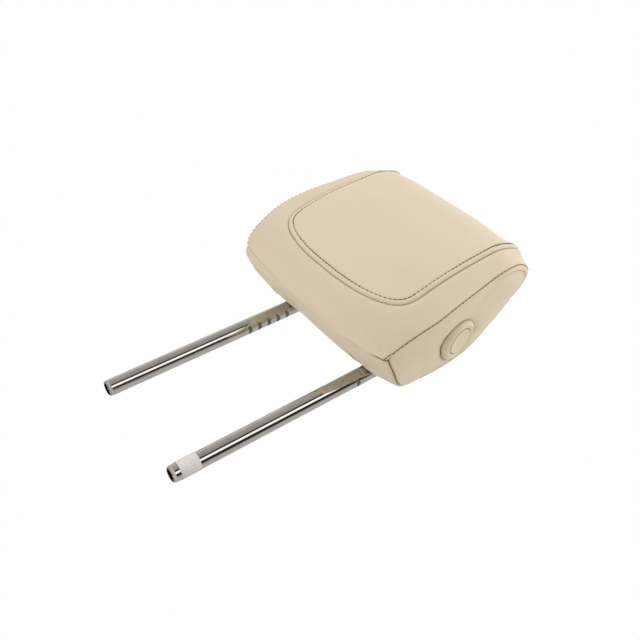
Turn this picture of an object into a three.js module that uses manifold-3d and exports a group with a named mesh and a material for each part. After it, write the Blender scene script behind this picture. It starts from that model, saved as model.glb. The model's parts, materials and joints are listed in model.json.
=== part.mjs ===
// Car headrest: a padded leather head restraint on two chromed posts.
// A button in its right side frees a latch, and the pad then slides along the car on the posts' carriage.
// Millimetres. +Z runs up the posts, -Y is the face the head rests on, +X is the side with the button.
// The origin lies midway between the lower ends of the two posts.

import * as THREE from 'three';
import { mergeVertices } from 'three/addons/utils/BufferGeometryUtils.js';
import Module from 'manifold-3d';

const wasm = await Module();
wasm.setup();

// Clearances

const TOUCH_GAP = 0.3;
const RUNNING_GAP = 1.5;
const COVER_GAP = 0.9;

// Posts

const POST_DIAMETER = 16;
const POST_BORE = 10;
const POST_SPACING = 124;
const POST_BEND_RADIUS = 24;
const CROSS_TUBE_HEIGHT = 246;
const NOSE_LENGTH = 4;
const NOSE_END_DIAMETER = 12.4;
const NOTCH_DEPTH = 1.9;
const NOTCH_LENGTH = 4.2;
const NOTCH_PITCH = 11.4;
const LEFT_NOTCH_COUNT = 5;
const LEFT_NOTCH_START = 152.5;
const RIGHT_NOTCH_HEIGHT = 194.8;

// Paper band on the right post

const BAND_BOTTOM = 7.8;
const BAND_WIDTH = 18.6;
const BAND_THICKNESS = 0.4;

// Fore-and-aft adjustment

const SLIDE_TRAVEL = 24;
const RAIL_WIDTH = 12;
const RAIL_HEIGHT = 6;
const RAIL_END_MARGIN = 3;
const RAIL_GROOVE_DEPTH = 0.8;
const RAIL_GROOVE_WIDTH = 1.4;

// Carriage clamped round the cross tube

const CARRIAGE_WIDTH = 64;
const CARRIAGE_WALL = 4;
const CARRIAGE_FRONT_DEPTH = 14;
const CARRIAGE_TOP_MARGIN = 14;
const CARRIAGE_SCREW_DIAMETER = 4;
const CARRIAGE_SCREW_SPACING = 20;
const CARRIAGE_SCREW_DROP = 3;
const SCREW_HEAD_DIAMETER = 7;
const SCREW_HEAD_HEIGHT = 2.2;

// Guide rods of the pad

const GUIDE_ROD_DIAMETER = 6;
const GUIDE_ROD_SPACING = 48;
const GUIDE_BOSS_WALL = 2.5;
const GUIDE_SOCKET_DEPTH = 2.5;

// Release button and latch

const BUTTON_DIAMETER = 27.6;
const BUTTON_STROKE = 4;
const BUTTON_Y = -45;
const BUTTON_DISH = 0.9;
const BUTTON_THICKNESS = 5;
const BEZEL_DIAMETER = 46.5;
const BEZEL_HEIGHT = 4.6;
const BEZEL_PROUD = 2;
const BEZEL_HOLE_GAP = 0.6;
const HOUSING_WALL = 1.6;
const ROD_COLLAR = 2;
const PUSH_ROD_DIAMETER = 6;
const PIVOT_PIN_DIAMETER = 4;
const PIVOT_X = 20;
const HUB_WALL = 2.4;
const RELEASE_ARM_LENGTH = 20;
const RELEASE_ARM_WIDTH = 6;
const LATCH_ARM_WIDTH = 4;
const LATCH_ARM_HEIGHT = 6;
const LATCH_ARM_DEPTH = 3.4;
const BRACKET_THICKNESS = 2;
const BRACKET_HEADROOM = 15;
const BRACKET_MARGIN = 5;
const SPRING_DIAMETER = 6;
const SPRING_WIRE = 0.9;
const SPRING_TURNS = 4;

// Shells, foam and covers

const COVER_THICKNESS = 1.6;
const SHELL_WALL = 2.5;
const CHASSIS_THICKNESS = 3;
const FOAM_DEPTH = 59.1;
const CUSHION_WIDTH = 236.8;
const CUSHION_HEIGHT = 188.5;
const CUSHION_DROP = 64;
const REAR_MARGIN = 3.7;
const SLOT_CLEARANCE = 2;
const SHELL_SCREW_DIAMETER = 4;
const SHELL_SCREW_SPACING_X = 168;
const SHELL_SCREW_LOW = 50;
const SHELL_SCREW_HIGH = 136;
const SHELL_BOSS_WALL = 2.4;
const CHASSIS_WINDOW_SPACING = 116;
const CHASSIS_WINDOW_WIDTH = 42;
const CHASSIS_WINDOW_HEIGHT = 44;
const CHASSIS_WINDOW_DROP = 12;
const CHASSIS_ROD_RIB = 8;
const PANEL_GAP = 0.8;

// Seam round the centre panel

const CENTRE_PANEL_WIDTH = 181;
const CENTRE_SEAM_START = 1.85;
const CENTRE_SEAM_SHOULDER = 4;

// Places worked out from the sizes above

const postRadius = POST_DIAMETER / 2;
const postX = POST_SPACING / 2;
const bendStart = CROSS_TUBE_HEIGHT - POST_BEND_RADIUS;
const cushionBase = CROSS_TUBE_HEIGHT - CUSHION_DROP;
const carriageRearDepth = postRadius + CARRIAGE_WALL;
const carriageTop = CROSS_TUBE_HEIGHT + postRadius + CARRIAGE_TOP_MARGIN;
const carriageBottom = CROSS_TUBE_HEIGHT - postRadius - CARRIAGE_WALL;
const guideRodZ = carriageTop - GUIDE_ROD_DIAMETER / 2 - CARRIAGE_WALL + TOUCH_GAP;
const railBottom = carriageTop + TOUCH_GAP;
const railTop = railBottom + RAIL_HEIGHT;
const latchY = -CARRIAGE_FRONT_DEPTH + RAIL_END_MARGIN;
const railFront = latchY - LATCH_ARM_DEPTH / 2 - RAIL_END_MARGIN;
const railRear = latchY + SLIDE_TRAVEL + LATCH_ARM_DEPTH / 2 + RAIL_END_MARGIN / 2;
const buttonZ = railTop + TOUCH_GAP + PUSH_ROD_DIAMETER / 2 + 0.2;
const pivotZ = buttonZ + RELEASE_ARM_LENGTH;
const buttonY = BUTTON_Y;
const releaseArmFront = buttonY - RELEASE_ARM_WIDTH / 2;
const chassisRear = releaseArmFront - BRACKET_THICKNESS - 2 * TOUCH_GAP - 0.8;
const chassisFront = chassisRear - CHASSIS_THICKNESS;
const coverDepth = COVER_THICKNESS + COVER_GAP;
const shellDepth = coverDepth + SHELL_WALL;
const cushionFront = -(FOAM_DEPTH - chassisFront + coverDepth);
const guideRodRear = carriageRearDepth + RUNNING_GAP + GUIDE_SOCKET_DEPTH + 1;
const cushionRear = guideRodRear + TOUCH_GAP + shellDepth + REAR_MARGIN;
const slotFront = -postRadius - SLIDE_TRAVEL - RUNNING_GAP;
const slotRear = postRadius + RUNNING_GAP;
const slotHalfWidth = postRadius + SLOT_CLEARANCE;

// Colours from the photograph

const leather = (roughness) => new THREE.MeshStandardMaterial({ color: 0xdccfb5, roughness, metalness: 0 });
const chrome = () => new THREE.MeshStandardMaterial({ color: 0xc9c7c3, roughness: 0.08, metalness: 1 });
const steel = () => new THREE.MeshStandardMaterial({ color: 0x9a9c9e, roughness: 0.35, metalness: 1 });
const blackPlastic = () => new THREE.MeshStandardMaterial({ color: 0x26272a, roughness: 0.6, metalness: 0 });
const beigePlastic = () => new THREE.MeshStandardMaterial({ color: 0xcdc0a3, roughness: 0.45, metalness: 0 });
const paper = () => new THREE.MeshStandardMaterial({ color: 0xe9e6e2, roughness: 0.8, metalness: 0 });
const foam = () => new THREE.MeshStandardMaterial({ color: 0x5c5d60, roughness: 0.95, metalness: 0 });

// The cushion's outer surface.
// Each row is one station round the section, from the front lower edge up the face and down the back:
// the edge's X, Y and Z, the middle's Y and Z, and how flat the middle stays across the width.
// They give its shape, and follow the sizes above.

const STATIONS = [
  [107.3, -61.5, 191.0, -59.0, 182.0, 3.5],
  [112.0, -71.5, 198.0, -80.0, 188.5, 3.5],
  [114.6, -78.8, 212.0, -92.0, 205.0, 3.5],
  [117.2, -85.0, 226.0, -98.0, 223.0, 3.5],
  [118.4, -89.6, 243.0, -103.5, 243.0, 3.5],
  [116.4, -94.8, 270.0, -110.5, 272.0, 3.5],
  [112.6, -97.4, 301.0, -115.5, 304.0, 3.5],
  [108.8, -98.6, 325.0, -116.0, 330.0, 3.5],
  [105.8, -97.0, 343.0, -113.0, 350.0, 3.5],
  [104.0, -91.5, 359.0, -104.5, 363.5, 3.5],
  [102.8, -79.0, 370.5, -88.0, 370.5, 3.5],
  [103.5, -60.5, 367.0, -62.0, 368.5, 3.0],
  [105.5, -43.0, 350.0, -28.0, 350.0, 2.6],
  [108.2, -28.0, 322.0, 2.0, 325.0, 2.4],
  [110.5, -19.0, 292.0, 19.0, 294.0, 2.2],
  [111.3, -17.0, 262.0, 26.0, 262.0, 2.1],
  [111.8, -19.5, 234.0, 23.0, 236.0, 2.4],
  [113.0, -24.5, 209.5, 1.0, 214.0, 3.0],
  [113.0, -43.0, 197.5, -34.0, 192.5, 3.5],
];
const TOP_SEAM = 11.5;
const VALANCE_SEAM = 15.6;
const ROWS = STATIONS.length;

const drawn = {
  halfWidth: Math.max(...STATIONS.map(([x]) => x)),
  front: Math.min(...STATIONS.map(([, , , ym]) => ym)),
  rear: Math.max(...STATIONS.map(([, , , ym]) => ym)),
  base: Math.min(...STATIONS.map(([, , , , zm]) => zm)),
  top: Math.max(...STATIONS.map(([, , , , zm]) => zm)),
};
const scaleX = (x) => (x * CUSHION_WIDTH) / 2 / drawn.halfWidth;
const scaleY = (y) => (y > 0 ? (y * cushionRear) / drawn.rear : (y * cushionFront) / drawn.front);
const scaleZ = (z) => cushionBase + ((z - drawn.base) * CUSHION_HEIGHT) / (drawn.top - drawn.base);
const rows = STATIONS.map(([x, y, z, ym, zm, flat]) => (
  [scaleX(x), scaleY(y), scaleZ(z), scaleY(ym), scaleZ(zm), flat]
));

// A smooth closed curve through the rows; v counts rows and wraps round.
function section(v) {
  const start = Math.floor(v);
  const s = v - start;
  const [a, b, c, d] = [-1, 0, 1, 2].map((k) => rows[(((start + k) % ROWS) + ROWS) % ROWS]);
  return b.map((_, k) => 0.5 * (
    2 * b[k] + (c[k] - a[k]) * s
    + (2 * a[k] - 5 * b[k] + 4 * c[k] - d[k]) * s * s
    + (3 * b[k] - a[k] - 3 * c[k] + d[k]) * s * s * s
  ));
}

// A point of the outer surface: u runs from -1 to 1 across the width.
function skinPoint(u, v) {
  const [x, y, z, ym, zm, flat] = section(v);
  const share = Math.abs(u) ** flat;
  return new THREE.Vector3(u * x, ym + (y - ym) * share, zm + (z - zm) * share);
}

function skinNormal(u, v) {
  const step = 0.02;
  const across = skinPoint(u + step, v).sub(skinPoint(u - step, v));
  const along = skinPoint(u, v + step).sub(skinPoint(u, v - step));
  return across.cross(along).normalize();
}

// The same point moved inwards by a depth, with the ends drawn in by that depth too.
function insetPoint(u, v, depth) {
  const narrowed = u * (1 - depth / section(v)[0]);
  const normal = skinNormal(narrowed, v);
  return skinPoint(narrowed, v).addScaledVector(normal, -depth);
}

// Mesh helpers

function meshGeometry(points, faces) {
  const geometry = new THREE.BufferGeometry();
  const flat = points.flatMap((p) => [p.x, p.y, p.z]);
  geometry.setAttribute('position', new THREE.Float32BufferAttribute(flat, 3));
  geometry.setIndex(faces.flat());
  return geometry;
}

function signedVolume(points, faces) {
  return faces.reduce((sum, [a, b, c]) => sum + points[a].dot(points[b].clone().cross(points[c])), 0);
}

function toSolid(geometry) {
  const bare = geometry.clone();
  bare.deleteAttribute('normal');
  bare.deleteAttribute('uv');
  const merged = mergeVertices(bare, 1e-4);
  const index = merged.index.array;
  const faces = [];
  for (let k = 0; k < index.length; k += 3) {
    const [a, b, c] = [index[k], index[k + 1], index[k + 2]];
    if (a !== b && b !== c && c !== a) faces.push(a, b, c);
  }
  return new wasm.Manifold(new wasm.Mesh({
    numProp: 3,
    vertProperties: new Float32Array(merged.attributes.position.array),
    triVerts: new Uint32Array(faces),
  }));
}

function toGeometry(solid) {
  const { vertProperties, triVerts, numProp } = solid.getMesh();
  const count = vertProperties.length / numProp;
  const positions = new Float32Array(count * 3);
  for (let k = 0; k < count; k += 1) {
    positions.set(vertProperties.subarray(k * numProp, k * numProp + 3), k * 3);
  }
  const geometry = new THREE.BufferGeometry();
  geometry.setAttribute('position', new THREE.BufferAttribute(positions, 3));
  geometry.setIndex(Array.from(triVerts));
  return geometry;
}

// A closed sheet between an outer and an inner grid of points, which may close on itself along j.
function sheetSolid(outer, inner, closed = false) {
  const rowsCount = outer.length;
  const columns = outer[0].length;
  const points = [...outer.flat(), ...inner.flat()];
  const top = (i, j) => i * columns + (j % columns);
  const low = (i, j) => rowsCount * columns + top(i, j);
  const faces = [];
  const quad = (a, b, c, d) => faces.push([a, b, c], [a, c, d]);
  const last = closed ? columns : columns - 1;
  for (let i = 0; i < rowsCount - 1; i += 1) {
    for (let j = 0; j < last; j += 1) {
      quad(top(i, j), top(i, j + 1), top(i + 1, j + 1), top(i + 1, j));
      quad(low(i, j), low(i + 1, j), low(i + 1, j + 1), low(i, j + 1));
    }
  }
  for (let j = 0; j < last; j += 1) {
    quad(top(0, j), low(0, j), low(0, j + 1), top(0, j + 1));
    quad(top(rowsCount - 1, j), top(rowsCount - 1, j + 1), low(rowsCount - 1, j + 1), low(rowsCount - 1, j));
  }
  if (!closed) {
    for (let i = 0; i < rowsCount - 1; i += 1) {
      quad(top(i, 0), top(i + 1, 0), low(i + 1, 0), low(i, 0));
      quad(top(i, last), low(i, last), low(i + 1, last), top(i + 1, last));
    }
  }
  const outwards = signedVolume(points, faces) > 0;
  return toSolid(meshGeometry(points, outwards ? faces : faces.map(([a, b, c]) => [a, c, b])));
}

const range = (count, fn) => Array.from({ length: count }, (_, k) => fn(k));
const lerp = THREE.MathUtils.lerp;

// The whole cushion drawn in by a depth, as one lofted solid with flat ends.
function cushionSolid(depth, across = 14, perRow = 2) {
  const round = ROWS * perRow;
  const points = [];
  for (let i = 0; i <= across; i += 1) {
    for (let j = 0; j < round; j += 1) points.push(insetPoint(lerp(-1, 1, i / across), j / perRow, depth));
  }
  const faces = [];
  const at = (i, j) => i * round + (j % round);
  for (let i = 0; i < across; i += 1) {
    for (let j = 0; j < round; j += 1) {
      faces.push([at(i, j), at(i, j + 1), at(i + 1, j + 1)], [at(i, j), at(i + 1, j + 1), at(i + 1, j)]);
    }
  }
  for (const i of [0, across]) {
    const ring = range(round, (j) => points[at(i, j)]);
    const middle = ring.reduce((sum, p) => sum.add(p), new THREE.Vector3()).divideScalar(round);
    const hub = points.push(middle) - 1;
    for (let j = 0; j < round; j += 1) {
      faces.push(i === 0 ? [hub, at(i, j + 1), at(i, j)] : [hub, at(i, j), at(i, j + 1)]);
    }
  }
  const outwards = signedVolume(points, faces) > 0;
  return toSolid(meshGeometry(points, outwards ? faces : faces.map(([a, b, c]) => [a, c, b])));
}

function boxSolid([x0, y0, z0], [x1, y1, z1]) {
  const geometry = new THREE.BoxGeometry(x1 - x0, y1 - y0, z1 - z0);
  geometry.translate((x0 + x1) / 2, (y0 + y1) / 2, (z0 + z1) / 2);
  return toSolid(geometry);
}

// A round bar along one axis; the other two numbers of its centre place it.
function barSolid(axis, radius, from, to, centre, sides = 20) {
  const geometry = new THREE.CylinderGeometry(radius, radius, to - from, sides);
  const middle = (from + to) / 2;
  if (axis === 'x') {
    geometry.rotateZ(Math.PI / 2);
    geometry.translate(middle, centre[0], centre[1]);
  } else if (axis === 'y') {
    geometry.translate(centre[0], middle, centre[1]);
  } else {
    geometry.rotateX(Math.PI / 2);
    geometry.translate(centre[0], centre[1], middle);
  }
  return toSolid(geometry);
}

// A lathed solid about the button's own axis; the profile runs from the axis out, as [radius, X].
function turnedOnButtonAxis(profile, sides = 28) {
  const geometry = new THREE.LatheGeometry(profile.map(([r, x]) => new THREE.Vector2(r, x)), sides);
  geometry.rotateZ(-Math.PI / 2);
  geometry.translate(0, buttonY, buttonZ);
  const solid = toSolid(geometry);
  return solid.volume() > 0 ? solid : toSolid(flipped(geometry));
}

function flipped(geometry) {
  const turned = geometry.clone();
  const index = turned.index.array;
  for (let k = 0; k < index.length; k += 3) [index[k], index[k + 1]] = [index[k + 1], index[k]];
  return turned;
}

const cutAll = (solid, cutters) => cutters.reduce((rest, cutter) => rest.subtract(cutter), solid);
const joinAll = (solids) => solids.reduce((sum, solid) => sum.add(solid));

const headrest = new THREE.Group();

function addPart(group, name, solid, material) {
  const mesh = new THREE.Mesh(toGeometry(solid), material);
  mesh.name = name;
  group.add(mesh);
}

const FAR = 600;
const aheadOf = (y) => boxSolid([-FAR, -FAR, -FAR], [FAR, y, FAR]);
const behind = (y) => boxSolid([-FAR, y, -FAR], [FAR, FAR, FAR]);

// Posts: one tube bent into a U

function bentTube(radius) {
  const path = new THREE.CurvePath();
  const kink = postX - POST_BEND_RADIUS;
  const corner = (side) => range(7, (k) => {
    const angle = (k / 6) * (Math.PI / 2);
    return new THREE.Vector3(
      side * (kink + POST_BEND_RADIUS * Math.cos(angle)),
      0,
      bendStart + POST_BEND_RADIUS * Math.sin(angle),
    );
  });
  const stops = [
    new THREE.Vector3(-postX, 0, 0), ...corner(-1),
    ...corner(1).reverse(), new THREE.Vector3(postX, 0, 0),
  ];
  for (let k = 0; k < stops.length - 1; k += 1) path.add(new THREE.LineCurve3(stops[k], stops[k + 1]));
  const sides = 16;
  const rings = stops.map((stop, k) => {
    const before = stops[Math.max(k - 1, 0)];
    const after = stops[Math.min(k + 1, stops.length - 1)];
    const along = after.clone().sub(before).normalize();
    const out = new THREE.Vector3(0, 1, 0);
    const side = along.clone().cross(out).normalize();
    return range(sides, (j) => {
      const angle = ((j + 0.5) / sides) * Math.PI * 2;
      return stop.clone()
        .addScaledVector(out, radius * Math.cos(angle))
        .addScaledVector(side, radius * Math.sin(angle));
    });
  });
  const points = rings.flat();
  const faces = [];
  const at = (i, j) => i * sides + (j % sides);
  for (let i = 0; i < rings.length - 1; i += 1) {
    for (let j = 0; j < sides; j += 1) {
      faces.push([at(i, j), at(i, j + 1), at(i + 1, j + 1)], [at(i, j), at(i + 1, j + 1), at(i + 1, j)]);
    }
  }
  for (let j = 1; j < sides - 1; j += 1) {
    faces.push([at(0, 0), at(0, j + 1), at(0, j)]);
    faces.push([at(rings.length - 1, 0), at(rings.length - 1, j), at(rings.length - 1, j + 1)]);
  }
  const outwards = signedVolume(points, faces) > 0;
  return toSolid(meshGeometry(points, outwards ? faces : faces.map(([a, b, c]) => [a, c, b])));
}

// What is turned off the end of a post to round its nose.
function noseCutter(side) {
  const endRadius = NOSE_END_DIAMETER / 2;
  const outer = postRadius + 1;
  const arc = range(5, (k) => {
    const angle = (k / 4) * (Math.PI / 2);
    return new THREE.Vector2(
      endRadius + (postRadius - endRadius + 0.05) * Math.sin(angle),
      NOSE_LENGTH * (1 - Math.cos(angle)),
    );
  });
  const profile = [new THREE.Vector2(endRadius, -1), ...arc,
    new THREE.Vector2(outer, NOSE_LENGTH), new THREE.Vector2(outer, -1), new THREE.Vector2(endRadius, -1)];
  const geometry = new THREE.LatheGeometry(profile, 16);
  geometry.rotateX(Math.PI / 2);
  geometry.translate(side * postX, 0, 0);
  const solid = toSolid(geometry);
  return solid.volume() > 0 ? solid : toSolid(flipped(geometry));
}

function postFrame() {
  const tube = bentTube(postRadius).subtract(bentTube(POST_BORE / 2));
  const notch = (x0, x1, z) => boxSolid([x0, -postRadius - 1, z], [x1, postRadius + 1, z + NOTCH_LENGTH]);
  const leftFlank = -postX + postRadius;
  const rightFlank = postX + postRadius;
  const notches = range(LEFT_NOTCH_COUNT, (k) => (
    notch(leftFlank - NOTCH_DEPTH, leftFlank + 1, LEFT_NOTCH_START + k * NOTCH_PITCH)
  ));
  notches.push(notch(rightFlank - NOTCH_DEPTH, rightFlank + 1, RIGHT_NOTCH_HEIGHT));
  return cutAll(tube, [...notches, noseCutter(-1), noseCutter(1)]);
}

function paperBand() {
  const inner = postRadius + TOUCH_GAP;
  const top = BAND_BOTTOM + BAND_WIDTH;
  return barSolid('z', inner + BAND_THICKNESS, BAND_BOTTOM, top, [postX, 0], 32)
    .subtract(barSolid('z', inner, BAND_BOTTOM - 1, top + 1, [postX, 0], 32));
}

// Carriage: two halves clamped round the cross tube

const guideRodPlaces = [-1, 1].map((side) => (side * GUIDE_ROD_SPACING) / 2);
const carriageScrewPlaces = [-1, 1].map((side) => (side * CARRIAGE_SCREW_SPACING) / 2);
const carriageScrewZ = CROSS_TUBE_HEIGHT + postRadius + CARRIAGE_SCREW_DIAMETER / 2 + CARRIAGE_SCREW_DROP;

function carriageHalf(from, to) {
  const block = boxSolid([-CARRIAGE_WIDTH / 2, from, carriageBottom], [CARRIAGE_WIDTH / 2, to, carriageTop]);
  const tubeBore = barSolid(
    'x', postRadius + TOUCH_GAP, -CARRIAGE_WIDTH, CARRIAGE_WIDTH, [0, CROSS_TUBE_HEIGHT], 24,
  );
  const rodBores = guideRodPlaces.map((x) => (
    barSolid('y', GUIDE_ROD_DIAMETER / 2 + TOUCH_GAP, from - 1, to + 1, [x, guideRodZ], 16)
  ));
  const screwBores = carriageScrewPlaces.map((x) => (
    barSolid('y', CARRIAGE_SCREW_DIAMETER / 2 + TOUCH_GAP, from - 1, to + 1, [x, carriageScrewZ], 12)
  ));
  return cutAll(block, [tubeBore, ...rodBores, ...screwBores]);
}

function screwAlongY(x, z, headY, tipY, diameter) {
  const direction = Math.sign(tipY - headY);
  const underHead = headY + direction * SCREW_HEAD_HEIGHT;
  const head = barSolid(
    'y', SCREW_HEAD_DIAMETER / 2, Math.min(headY, underHead), Math.max(headY, underHead), [x, z], 16,
  );
  const shank = barSolid('y', diameter / 2, Math.min(headY, tipY), Math.max(headY, tipY), [x, z], 12);
  const recess = boxSolid(
    [x - 1.6, Math.min(headY, headY + direction) - (direction > 0 ? 1 : 0), z - 0.5],
    [x + 1.6, Math.max(headY, headY + direction) + (direction < 0 ? 1 : 0), z + 0.5],
  );
  return head.add(shank).subtract(recess);
}

// Rail on the carriage that the latch's foot presses on, with a groove along each edge

function latchRail() {
  const bar = boxSolid([-RAIL_WIDTH / 2, railFront, railBottom], [RAIL_WIDTH / 2, railRear, railTop]);
  const grooves = [-1, 1].map((side) => boxSolid(
    [side * (RAIL_WIDTH / 2 - RAIL_GROOVE_DEPTH / 2) - RAIL_GROOVE_DEPTH, railFront - 1, railBottom + RAIL_GROOVE_WIDTH],
    [side * (RAIL_WIDTH / 2 - RAIL_GROOVE_DEPTH / 2) + RAIL_GROOVE_DEPTH, railRear + 1, railBottom + 2 * RAIL_GROOVE_WIDTH],
  ));
  return cutAll(bar, grooves);
}

// Latch: a rocker on a pin along Y, with a release arm below its hub and a latch arm whose foot presses on the rail

const pinRadius = PIVOT_PIN_DIAMETER / 2;
const hubRadius = pinRadius + TOUCH_GAP + HUB_WALL;
const bracketTop = pivotZ + BRACKET_HEADROOM;
const bracketBase = chassisRear + TOUCH_GAP;
const hubFront = bracketBase + BRACKET_THICKNESS + TOUCH_GAP;
const hubRear = latchY + LATCH_ARM_DEPTH / 2 + RUNNING_GAP;
const earFront = hubRear + TOUCH_GAP;
const earRear = earFront + BRACKET_THICKNESS;
const rodTipX = PIVOT_X + LATCH_ARM_WIDTH / 2 + TOUCH_GAP;

function latchLever() {
  const hub = barSolid('y', hubRadius, hubFront, hubRear, [PIVOT_X, pivotZ], 20);
  const armBottom = buttonZ - PUSH_ROD_DIAMETER / 2;
  const releaseArm = boxSolid(
    [PIVOT_X - LATCH_ARM_WIDTH / 2, hubFront, armBottom],
    [PIVOT_X + LATCH_ARM_WIDTH / 2, hubFront + RELEASE_ARM_WIDTH, pivotZ],
  );
  const armFront = latchY - LATCH_ARM_DEPTH / 2;
  const armRear = latchY + LATCH_ARM_DEPTH / 2;
  const arm = boxSolid(
    [-LATCH_ARM_WIDTH, armFront, pivotZ - LATCH_ARM_HEIGHT / 2],
    [PIVOT_X, armRear, pivotZ + LATCH_ARM_HEIGHT / 2],
  );
  const leg = boxSolid(
    [-LATCH_ARM_WIDTH, armFront, railTop + TOUCH_GAP],
    [LATCH_ARM_WIDTH, armRear, pivotZ],
  );
  const bore = barSolid('y', pinRadius + TOUCH_GAP, hubFront - 1, hubRear + 1, [PIVOT_X, pivotZ], 16);
  return joinAll([hub, releaseArm, arm, leg]).subtract(bore);
}

// Folded bracket that holds the pin, fixed to the chassis

function pivotBracket() {
  const half = hubRadius + BRACKET_MARGIN;
  const base = boxSolid(
    [PIVOT_X - half, bracketBase, pivotZ - half],
    [PIVOT_X + half, bracketBase + BRACKET_THICKNESS, bracketTop],
  );
  const web = boxSolid(
    [-LATCH_ARM_WIDTH - BRACKET_THICKNESS, bracketBase, bracketTop - BRACKET_THICKNESS],
    [PIVOT_X + half, earRear, bracketTop],
  );
  const ear = boxSolid(
    [PIVOT_X - hubRadius, earFront, pivotZ - hubRadius],
    [PIVOT_X + hubRadius, earRear, bracketTop],
  );
  const bore = barSolid('y', pinRadius + TOUCH_GAP, bracketBase - 1, earRear + 1, [PIVOT_X, pivotZ], 16);
  return joinAll([base, web, ear]).subtract(bore);
}

function pivotPin() {
  const rear = earRear + 1;
  const pin = barSolid('y', pinRadius, bracketBase + TOUCH_GAP, rear, [PIVOT_X, pivotZ], 16);
  const head = barSolid('y', pinRadius + 1.2, earRear + TOUCH_GAP, rear + 1, [PIVOT_X, pivotZ], 16);
  return pin.add(head);
}

// Coil spring that presses the latch arm down from the bracket's web

function latchSpring() {
  const low = pivotZ + LATCH_ARM_HEIGHT / 2 + TOUCH_GAP + SPRING_WIRE / 2;
  const high = bracketTop - BRACKET_THICKNESS - TOUCH_GAP - SPRING_WIRE / 2;
  const coilRadius = (SPRING_DIAMETER - SPRING_WIRE) / 2;
  const steps = SPRING_TURNS * 10;
  const turns = range(steps + 1, (k) => {
    const angle = (k / 10) * Math.PI * 2;
    const height = lerp(low, high, k / steps);
    return new THREE.Vector3(coilRadius * Math.cos(angle), latchY + coilRadius * Math.sin(angle), height);
  });
  const section = new THREE.Shape(range(6, (k) => {
    const angle = (k / 6) * Math.PI * 2;
    return new THREE.Vector2((SPRING_WIRE / 2) * Math.cos(angle), (SPRING_WIRE / 2) * Math.sin(angle));
  }));
  const geometry = new THREE.ExtrudeGeometry(section, {
    steps, bevelEnabled: false, extrudePath: new THREE.CatmullRomCurve3(turns),
  });
  return toSolid(geometry);
}

// Button, its push rod, the bezel ring and the housing behind it

const frontEdge = section(5.2);
const rearEdge = section(14.5);
const sideX = lerp(frontEdge[0], rearEdge[0], (buttonY - frontEdge[1]) / (rearEdge[1] - frontEdge[1]));
const bezelInner = BUTTON_DIAMETER / 2 + BEZEL_HOLE_GAP;
const bezelOuter = BEZEL_DIAMETER / 2;
const bezelFaceX = sideX + BEZEL_PROUD;
const bezelBackX = bezelFaceX - BEZEL_HEIGHT;
const buttonFaceX = bezelFaceX - 0.4;
const buttonBackX = buttonFaceX - BUTTON_THICKNESS;
const housingRadius = bezelInner + HOUSING_WALL;
const housingFrontX = bezelBackX - TOUCH_GAP;
const rodShoulderX = buttonBackX - TOUCH_GAP;
const housingRearX = rodShoulderX - ROD_COLLAR - BUTTON_STROKE - RUNNING_GAP - HOUSING_WALL;

function buttonCap() {
  const r = BUTTON_DIAMETER / 2;
  return turnedOnButtonAxis([
    [0, buttonBackX], [r, buttonBackX], [r, buttonFaceX - 1], [r - 0.5, buttonFaceX - 0.2],
    [r - 1.4, buttonFaceX], [r - 3, buttonFaceX - 0.2], [r * 0.5, buttonFaceX - BUTTON_DISH],
    [0, buttonFaceX - BUTTON_DISH - 0.2],
  ]);
}

function pushRod() {
  const r = PUSH_ROD_DIAMETER / 2;
  const tip = range(5, (k) => {
    const angle = (k / 4) * (Math.PI / 2);
    return [r * Math.sin(angle), rodTipX + r * (1 - Math.cos(angle))];
  });
  const collarX = rodShoulderX - ROD_COLLAR;
  return turnedOnButtonAxis(
    [...tip, [r, collarX], [r + 3, collarX], [r + 3, rodShoulderX], [0, rodShoulderX]], 20,
  );
}

function bezelRing() {
  const crown = bezelFaceX;
  const dome = range(7, (k) => {
    const angle = (k / 6) * (Math.PI / 2);
    return [bezelInner + 2.6 + (bezelOuter - bezelInner - 2.6) * Math.sin(angle),
      bezelBackX + 0.6 + (crown - bezelBackX - 0.6) * Math.cos(angle)];
  });
  return turnedOnButtonAxis([
    [bezelInner, bezelBackX], [bezelInner, crown - 0.9], [bezelInner + 0.9, crown - 0.1],
    ...dome, [bezelOuter, bezelBackX], [bezelInner, bezelBackX],
  ]);
}

function buttonHousing() {
  const rodHole = PUSH_ROD_DIAMETER / 2 + 2 * TOUCH_GAP;
  return turnedOnButtonAxis([
    [rodHole, housingRearX], [housingRadius, housingRearX], [housingRadius, housingFrontX],
    [bezelInner, housingFrontX], [bezelInner, housingRearX + HOUSING_WALL],
    [rodHole, housingRearX + HOUSING_WALL], [rodHole, housingRearX],
  ]);
}

// Room for the housing in the foam, chassis and shell.
const housingPocket = barSolid('x', housingRadius + TOUCH_GAP, housingRearX - TOUCH_GAP, FAR, [buttonY, buttonZ], 32);
const bezelPocket = barSolid('x', bezelOuter + TOUCH_GAP, bezelBackX - TOUCH_GAP, FAR, [buttonY, buttonZ], 40);

// Chassis plate, rear shell and foam

const innerBody = cushionSolid(coverDepth, 14, 3);
const shellScrewPlaces = [-1, 1].flatMap((side) => (
  [SHELL_SCREW_LOW, SHELL_SCREW_HIGH].map((z) => [(side * SHELL_SCREW_SPACING_X) / 2, cushionBase + z])
));
const screwHeadFront = chassisFront + TOUCH_GAP;
const shellScrewTip = chassisRear + 14;

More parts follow.
